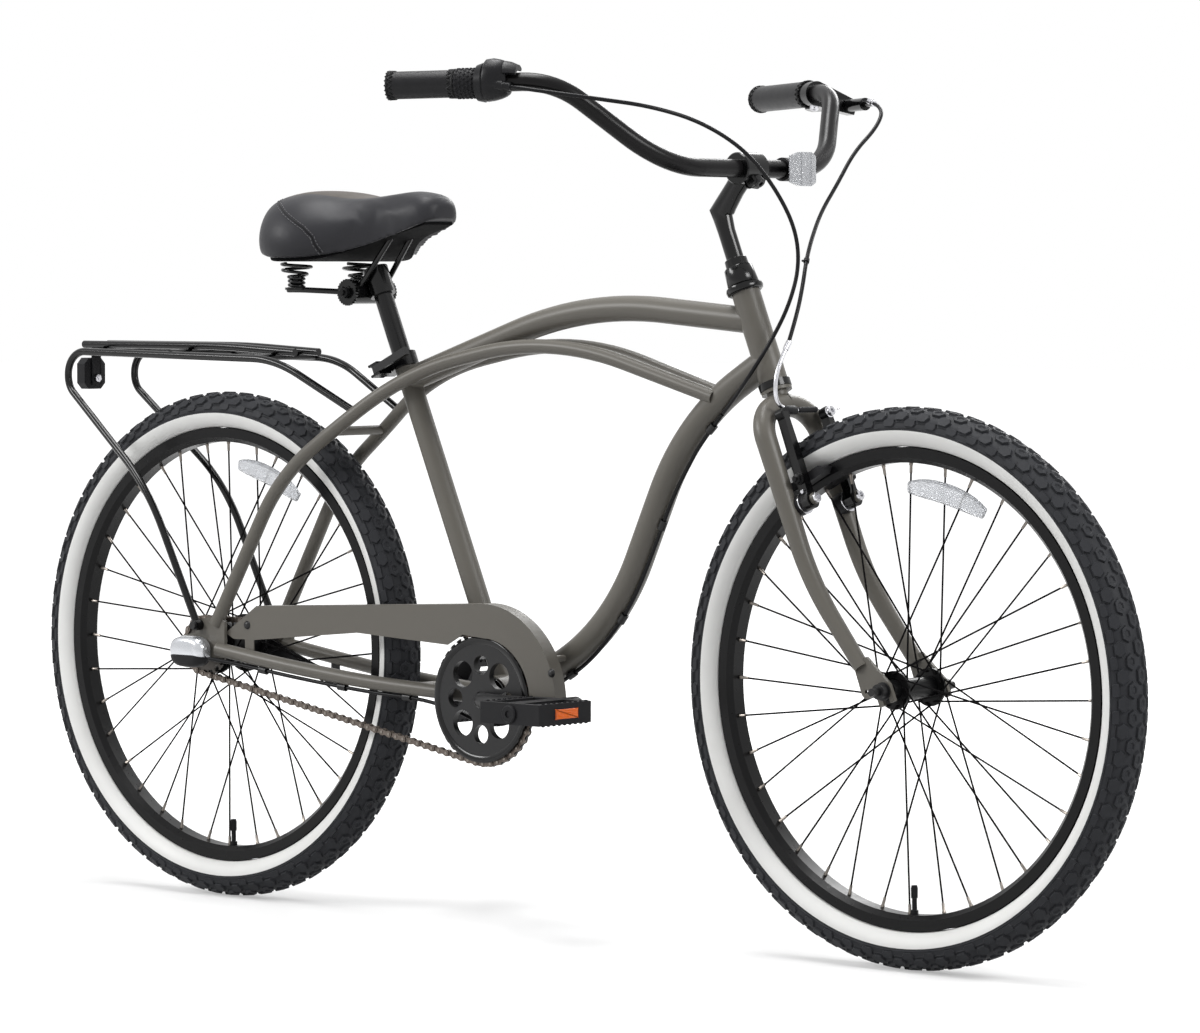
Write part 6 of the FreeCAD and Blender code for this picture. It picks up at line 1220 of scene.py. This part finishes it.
split_angle = math.asin((JOINT_SPLIT / (JOINT_HEIGHT / 2)) ** (1 / JOINT_SQUARENESS))
for name, finish, first, last, replaced in (
        ("gear_box_top", silver_cover, -split_angle, math.pi + split_angle, ("shift_joint",)),
        ("gear_box_foot", black_plastic, math.pi + split_angle, FULL_TURN - split_angle, ())):
    joint_mesh = bmesh.new()
    joint_faces = zip(JOINT_PLACES, JOINT_SIZE_SHARES)
    loft(joint_mesh, [joint_ring(y, share, first, last) for y, share in joint_faces], caps=True)
    solid(name, joint_mesh, (finish,), "frame", replaced)


# Cables on their routes

CABLE_RADIUS = 0.0025
CABLE_FACES = 12
NOODLE_RADIUS = 0.0026
ROUTE_STEPS = 12
ROUTE_ORDER = 3
BRAKE_CABLE_ROUTE = (
    (0.2783, 0.2916, 1.0346), (0.304, 0.280, 1.028), (0.317, 0.250, 1.003), (0.312, 0.211, 0.972),
    (0.318, 0.170, 0.931), (0.334, 0.120, 0.898), (0.360, 0.070, 0.866), (0.382, 0.032, 0.838),
    (0.398, 0.006, 0.808), (0.405, -0.014, 0.772), (0.404, -0.029, 0.738))
NOODLE_ROUTE = (
    (0.404, -0.029, 0.738), (0.402, -0.047, 0.712), (0.402, -0.052, 0.676), (0.4033, -0.038, 0.6594),
    (0.4033, -0.010, 0.6594))
SHIFT_LOOP_ROUTE = (
    (0.194, -0.296, 1.043), (0.232, -0.280, 1.037), (0.291, -0.240, 1.027), (0.330, -0.195, 1.019),
    (0.357, -0.135, 1.002), (0.376, -0.075, 0.969), (0.385, -0.030, 0.924), (0.388, 0.004, 0.877),
    (0.388, 0.012, 0.832), (0.386, -0.004, 0.786), (0.376, -0.025, 0.743), (0.345, -0.030, 0.700),
    (0.312, -0.018, 0.672), (0.2856, -0.008, 0.6534))
SHIFT_FRAME_ROUTE = (
    (0.283, -0.007, 0.6516), (0.250, -0.007, 0.617), (0.230, -0.007, 0.5886), (0.204, -0.007, 0.548),
    (0.173, -0.007, 0.481), (0.1417, -0.007, 0.4206), (0.1055, -0.007, 0.3755), (0.062, -0.007, 0.336),
    (0.0199, -0.008, 0.3125), (-0.030, -0.012, 0.275), (-0.062, -0.018, 0.255), (-0.100, -0.024, 0.256),
    (-0.140, -0.029, 0.272), (-0.190, -0.0345, 0.282), (-0.237, -0.0392, 0.285), (-0.285, -0.0437, 0.2884),
    (-0.352, -0.0509, 0.2955), (-0.420, -0.058, 0.3038), (-0.476, -0.063, 0.312), (-0.512, -0.072, 0.317),
    (-0.5328, -0.078, 0.320))
CLIP_PLACE = Vector((0.382, 0.032, 0.838))
CLIP_PROFILE = ((0.0024, -0.003), (0.0036, -0.003), (0.0036, 0.003), (0.0024, 0.003))
CLIP_REACH = 0.008
CLIP_RADIUS = 0.0014
CLIP_PIN_FACES = 10
NOODLE_COLLAR_PROFILE = ((0, -0.004), (0.0036, -0.004), (0.0036, 0.007), (0.0028, 0.008), (0, 0.008))
HOLDER_PROFILE = (
    (0, -0.027), (0.0052, -0.027), (0.0056, -0.024), (0.0056, -0.006), (0.0044, -0.004), (0, -0.004))
BOOT_START = Vector(NOODLE_ROUTE[-1])
BOOT_LENGTH = 0.0355
BOOT_RIBS = 7
BOOT_RADIUS = 0.0038
BOOT_GROOVE = 0.0031
WIRE_RADIUS = 0.0008
WIRE_REACH = 0.0085


def route_curve(name, route):
    """A smooth line with the route's points as its control points."""
    data = bpy.data.curves.new(name, "CURVE")
    data.dimensions = "3D"
    data.resolution_u = ROUTE_STEPS
    line = data.splines.new("NURBS")
    line.points.add(len(route) - 1)
    for control, point in zip(line.points, route):
        control.co = (*point, 1)
    line.order_u = ROUTE_ORDER
    line.use_endpoint_u = True
    return data


def route_points(name, route):
    """Points read from a route's smooth line."""
    item = bpy.data.objects.new(name, route_curve(name, route))
    scene.collection.objects.link(item)
    line = bpy.data.meshes.new_from_object(item)
    bpy.data.objects.remove(item)
    return [vertex.co.copy() for vertex in line.vertices]


def cable(name, route, body, node):
    """A free cable on one body, in place of its CAD solid."""
    data = route_curve(name, route)
    data.bevel_depth = CABLE_RADIUS
    data.use_fill_caps = True
    data.materials.append(cable_jacket)
    item = placed(name, data, body, (node,))


cable("brake_line", BRAKE_CABLE_ROUTE, "fork", "brake_cable")
cable("shift_line", SHIFT_FRAME_ROUTE, "frame", "shift_cable")

loop_points = route_points("shift_loop_path", SHIFT_LOOP_ROUTE)
loop_mesh = bmesh.new()
tube_along(loop_mesh, loop_points, CABLE_RADIUS, CABLE_FACES)
loop = bending(
    "shift_loop", loop_mesh, (cable_jacket,))
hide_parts("shift_cable_loop")

brake_points = route_points("brake_path", BRAKE_CABLE_ROUTE)
clip_runs = list(zip(brake_points, brake_points[1:]))
clip_place, clip_ahead = min(clip_runs, key=lambda run: (run[0] - CLIP_PLACE).length)
clip_mesh = bmesh.new()
lathe(clip_mesh, ringed(CLIP_PROFILE), clip_place, clip_ahead - clip_place, SLEEVE_FACES)
clip_root = clip_place + RIGHT * CABLE_RADIUS
rod(clip_mesh, clip_root, clip_place + RIGHT * CLIP_REACH, CLIP_RADIUS, CLIP_PIN_FACES)
solid("cable_clip", clip_mesh, (black_plastic,), "fork")

noodle_mesh = bmesh.new()
noodle_points = route_points("noodle_path", NOODLE_ROUTE)
tube_along(noodle_mesh, noodle_points, NOODLE_RADIUS, CABLE_FACES)
lathe(
    noodle_mesh, NOODLE_COLLAR_PROFILE, noodle_points[0], noodle_points[1] - noodle_points[0], SLEEVE_FACES)
solid("brake_noodle", noodle_mesh, (steel,), "fork")

half_rib = BOOT_LENGTH / BOOT_RIBS / 2
boot_profile = [(0, 0)]
for rib in range(BOOT_RIBS):
    boot_profile += [(BOOT_GROOVE, 2 * rib * half_rib), (BOOT_RADIUS, (2 * rib + 1) * half_rib)]
boot_profile += [(BOOT_GROOVE, BOOT_LENGTH), (0, BOOT_LENGTH)]
turned("brake_boot", soft_rubber, "fork", [
    (profile, BOOT_START, LEFT, SLEEVE_FACES) for profile in (boot_profile, HOLDER_PROFILE)])
wire_mesh = bmesh.new()
wire_start = BOOT_START + LEFT * BOOT_LENGTH
wire_end = wire_start + LEFT * WIRE_REACH
rod(wire_mesh, wire_start, wire_end, WIRE_RADIUS, WIRE_FACES)
bending("brake_wire", wire_mesh, (steel,))


# Brake trim: cups, washers, bolts, pad nuts and the anchor with its wire tail

BRAKE_PIVOT = Vector((0.423558, 0.041, 0.543328))
CUP_PROFILE = (
    (0.0085, 0.004), (0.0122, 0.004), (0.0130, 0.008), (0.0130, 0.0166), (0.0108, 0.0184), (0.0085, 0.0184))
WASHER_PROFILE = ((0.009, 0.0178), (0.0136, 0.0178), (0.0136, 0.0190), (0.009, 0.0190))
BOLT_PROFILE = (
    (0, 0.0376), (0.0030, 0.0376), (0.0030, 0.0398), (0.0056, 0.0398), (0.0064, 0.0390), (0.0064, 0.0362),
    (0, 0.0362))
ARM_MIDDLE = 0.0253
ARM_FACE = 0.0313
ARM_HALF = 0.006
PAD_RISE = 0.028
PAD_NUT_PROFILE = (
    (0, 0), (0.0075, 0), (0.0075, 0.0015), (0.0062, 0.0022), (0.0062, 0.0065), (0.0035, 0.0072),
    (0.0035, 0.010), (0, 0.010))
ANCHOR_RISE = 0.1095
ANCHOR_PROFILE = (
    (0, 0.0026), (0.0026, 0.0026), (0.0026, 0.005), (0.0056, 0.005), (0.0062, 0.0042), (0.0062, 0.0008),
    (0.0072, 0), (0, 0))
ARM_HEAD_PROFILE = ((0, -0.012), (0.0068, -0.012), (0.008, -0.0105), (0.008, -0.001), (0.0072, 0), (0, 0))
TAIL_WIRE_PROFILE = ((0, 0), (0.0006, 0), (0.0006, 0.024), (0.0012, 0.0245), (0.0012, 0.0285), (0, 0.0285))
SPRING_SCREW_PROFILE = ((0, 0), (0.0026, 0), (0.0026, 0.003), (0.0016, 0.0038), (0, 0.0038))
SPRING_SCREW_RISE = 0.012

for side, body in zip(SIDES, ("right_brake", "left_brake")):
    pivot = Vector((BRAKE_PIVOT.x, BRAKE_PIVOT.y * side, BRAKE_PIVOT.z))
    outward = LEFT * side
    arm_side = pivot + STEER_FORWARD * ARM_MIDDLE + outward * ARM_HALF
    anchor = pivot + STEER_UP * ANCHOR_RISE + STEER_FORWARD * ARM_FACE
    nuts = [(SPRING_SCREW_PROFILE, arm_side + STEER_UP * SPRING_SCREW_RISE, outward, SCREW_FACES)]
    if side > 0:
        tail_place = BOOT_START + LEFT * (pivot.y - BOOT_START.y)
        nuts.append((ANCHOR_PROFILE, anchor, STEER_FORWARD, BOLT_FACES))
        nuts.append((TAIL_WIRE_PROFILE, tail_place, LEFT, WIRE_FACES))
    turned(body + "_cup", black_plastic, "fork", [
        (ringed(CUP_PROFILE), pivot, STEER_FORWARD, CUP_FACES)])
    turned(body + "_bolt", steel, "fork", [
        (ringed(WASHER_PROFILE), pivot, STEER_FORWARD, CUP_FACES),
        (BOLT_PROFILE, pivot, STEER_FORWARD, BOLT_FACES)])
    turned(body + "_head", black_alloy, body, [
        (PAD_NUT_PROFILE, arm_side + STEER_UP * PAD_RISE, outward, NUT_FACES),
        (ARM_HEAD_PROFILE, anchor, STEER_FORWARD, HEAD_FACES)])
    turned(body + "_nuts", steel, body, nuts)


# Pedal reflectors, axle caps and teeth

PEDAL_LENS_SIZES = (0.042, 0.0135, 0.003)
PEDAL_LENS_EDGE = 0.0008
PEDAL_CAP_PROFILE = (
    (0, 0.0015), (0.0045, 0.0015), (0.0045, 0.0032), (0.0095, 0.0032), (0.011, 0.002), (0.011, 0), (0, 0))
PEDAL_TOOTH_COUNT = 9
PEDAL_TOOTH_SIZES = (0.004, 0.0035, 0.003)
PEDAL_TOOTH_EDGE = 0.0008
PEDAL_TOOTH_RUN = 0.078
LEFT_PEDAL_FORWARD = Vector((0.469, 0, 0.883)).normalized()


def middle_and_half(node):
    """The middle of a node's box and its half sizes."""
    low, high = [Vector(corner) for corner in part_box(node)]
    return (low + high) / 2, (high - low) / 2


pedal_half = middle_and_half("right_pedal")[1]
for body, ahead, outward in (("right_pedal", FORWARD, RIGHT), ("left_pedal", LEFT_PEDAL_FORWARD, LEFT)):
    middle = middle_and_half(body)[0]
    above = ahead.cross(LEFT)
    lens_mesh = bmesh.new()
    teeth_mesh = bmesh.new()
    for side in SIDES:
        face = middle + ahead * (side * pedal_half.x)
        block(lens_mesh, face, (LEFT, above, ahead), PEDAL_LENS_SIZES, PEDAL_LENS_EDGE)
        for number in range(PEDAL_TOOTH_COUNT):
            along_edge = PEDAL_TOOTH_RUN * (2 * number / (PEDAL_TOOTH_COUNT - 1) - 1) / 2
            place = face - ahead * (side * PEDAL_TOOTH_SIZES[2]) + LEFT * along_edge
            for height in SIDES:
                tooth = place + above * (height * pedal_half.z)
                block(teeth_mesh, tooth, (LEFT, ahead, above), PEDAL_TOOTH_SIZES, PEDAL_TOOTH_EDGE)
    lathe(teeth_mesh, PEDAL_CAP_PROFILE, middle + outward * pedal_half.y, outward, CUP_FACES)
    solid(body + "_reflectors", lens_mesh, (amber_lens,), body)
    solid(body + "_teeth", teeth_mesh, (black_plastic,), body)


# Lip of the guard disc, saddle clamp, and bolts on the frame, the stem and the brake lever

# Each point of the lip: inset from the disc's edge and rise over its face
DISC_LIP = (
    (0.006, 0.0), (0.0045, 0.0012), (0.0, 0.0020), (-0.0018, 0.0018), (-0.0031, 0.0008), (-0.0033, -0.0004),
    (-0.0027, -0.0012), (0.0, -0.0010))
DISC_FACES = 96
SADDLE_PIVOT = Vector((-0.319454, 0, 0.797818))
SERRATED_SIDE = 0.0335
SERRATED_DEPTH = 0.0045
SERRATED_TEETH = 26
SERRATED_OUTER = 0.0172
SERRATED_INNER = 0.0158
CLAMP_NUT_SIDE = 0.0385
CLAMP_NUT_PROFILE = (
    (0, 0), (0.0078, 0), (0.0078, 0.0055), (0.0068, 0.0065), (0.0042, 0.0068), (0.0042, 0.0095), (0, 0.010))
LEVER_BOLT_ALONG = 0.1535
LEVER_BOLT_DROP = 0.0165
LEVER_BOLT_PROFILE = (
    (0, -0.003), (0.0058, -0.003), (0.0058, 0.002), (0.0046, 0.0044), (0.002, 0.0056), (0, 0.0058))
GUARD_SCREWS = (Vector((-0.480, -0.059, 0.365)), Vector((0.052, -0.059, 0.329)))
BUTTON_PROFILE = ((0, 0.0032), (0.0022, 0.0030), (0.0046, 0.0018), (0.0056, 0), (0, -0.0005))
STEM_BOLT_HEADING = Vector((0.76, 0, -0.65))
STEM_BOLT_REACH = 0.023
SOCKET_PROFILE = (
    (0, 0.002), (0.003, 0.002), (0.003, 0.006), (0.0062, 0.006), (0.0068, 0.0052), (0.0068, -0.004),
    (0, -0.004))
LEVER_BARREL = Vector((0.277812, 0.291823, 1.034574))
LEVER_BARREL_PROFILE = (
    (0, -0.010), (0.0046, -0.010), (0.0046, -0.003), (0.0038, -0.002), (0.0038, 0.004), (0, 0.0045))

disc_middle, disc_half = middle_and_half("guard_disc")
disc_lip_profile = [(disc_half.z - inset, rise) for inset, rise in DISC_LIP]
turned("disc_lip", gloss_black, "crank", [
    (disc_lip_profile, disc_middle + RIGHT * disc_half.y, RIGHT, DISC_FACES)])
washer_mesh = bmesh.new()
clamp_nuts = []
for side in SIDES:
    outward = LEFT * side
    loft(washer_mesh, [
        [SADDLE_PIVOT + outward * (SERRATED_SIDE + depth)
         + arm(FULL_TURN * step / (SERRATED_TEETH * 2)) * (SERRATED_OUTER if step % 2 else SERRATED_INNER)
         for step in range(SERRATED_TEETH * 2)]
        for depth in (0, SERRATED_DEPTH)], caps=True)
    clamp_nuts.append((CLAMP_NUT_PROFILE, SADDLE_PIVOT + outward * CLAMP_NUT_SIDE, outward, NUT_FACES))
solid("saddle_washers", washer_mesh, (gloss_black,), "seat")
turned("saddle_nuts", black_alloy, "seat", clamp_nuts)
lever_bolt = LEFT_BAR_END + LEFT_INWARD * LEVER_BOLT_ALONG - UP * LEVER_BOLT_DROP
turned("lever_clamp_bolt", steel, "fork", [(LEVER_BOLT_PROFILE, lever_bolt, -UP, BOLT_FACES)])
turned("guard_screws", satin_black, "frame", [
    (BUTTON_PROFILE, place, RIGHT, BOLT_FACES) for place in GUARD_SCREWS])
stem_bolt = BAR_CENTRE + STEM_BOLT_HEADING.normalized() * STEM_BOLT_REACH
turned("stem_bolt", satin_black, "fork", [
    (SOCKET_PROFILE, stem_bolt, STEM_BOLT_HEADING, BOLT_FACES)])
brake_heading = Vector(BRAKE_CABLE_ROUTE[1]) - Vector(BRAKE_CABLE_ROUTE[0])
turned("lever_barrel", steel, "fork", [
    (LEVER_BARREL_PROFILE, LEVER_BARREL, brake_heading, BOLT_FACES)])
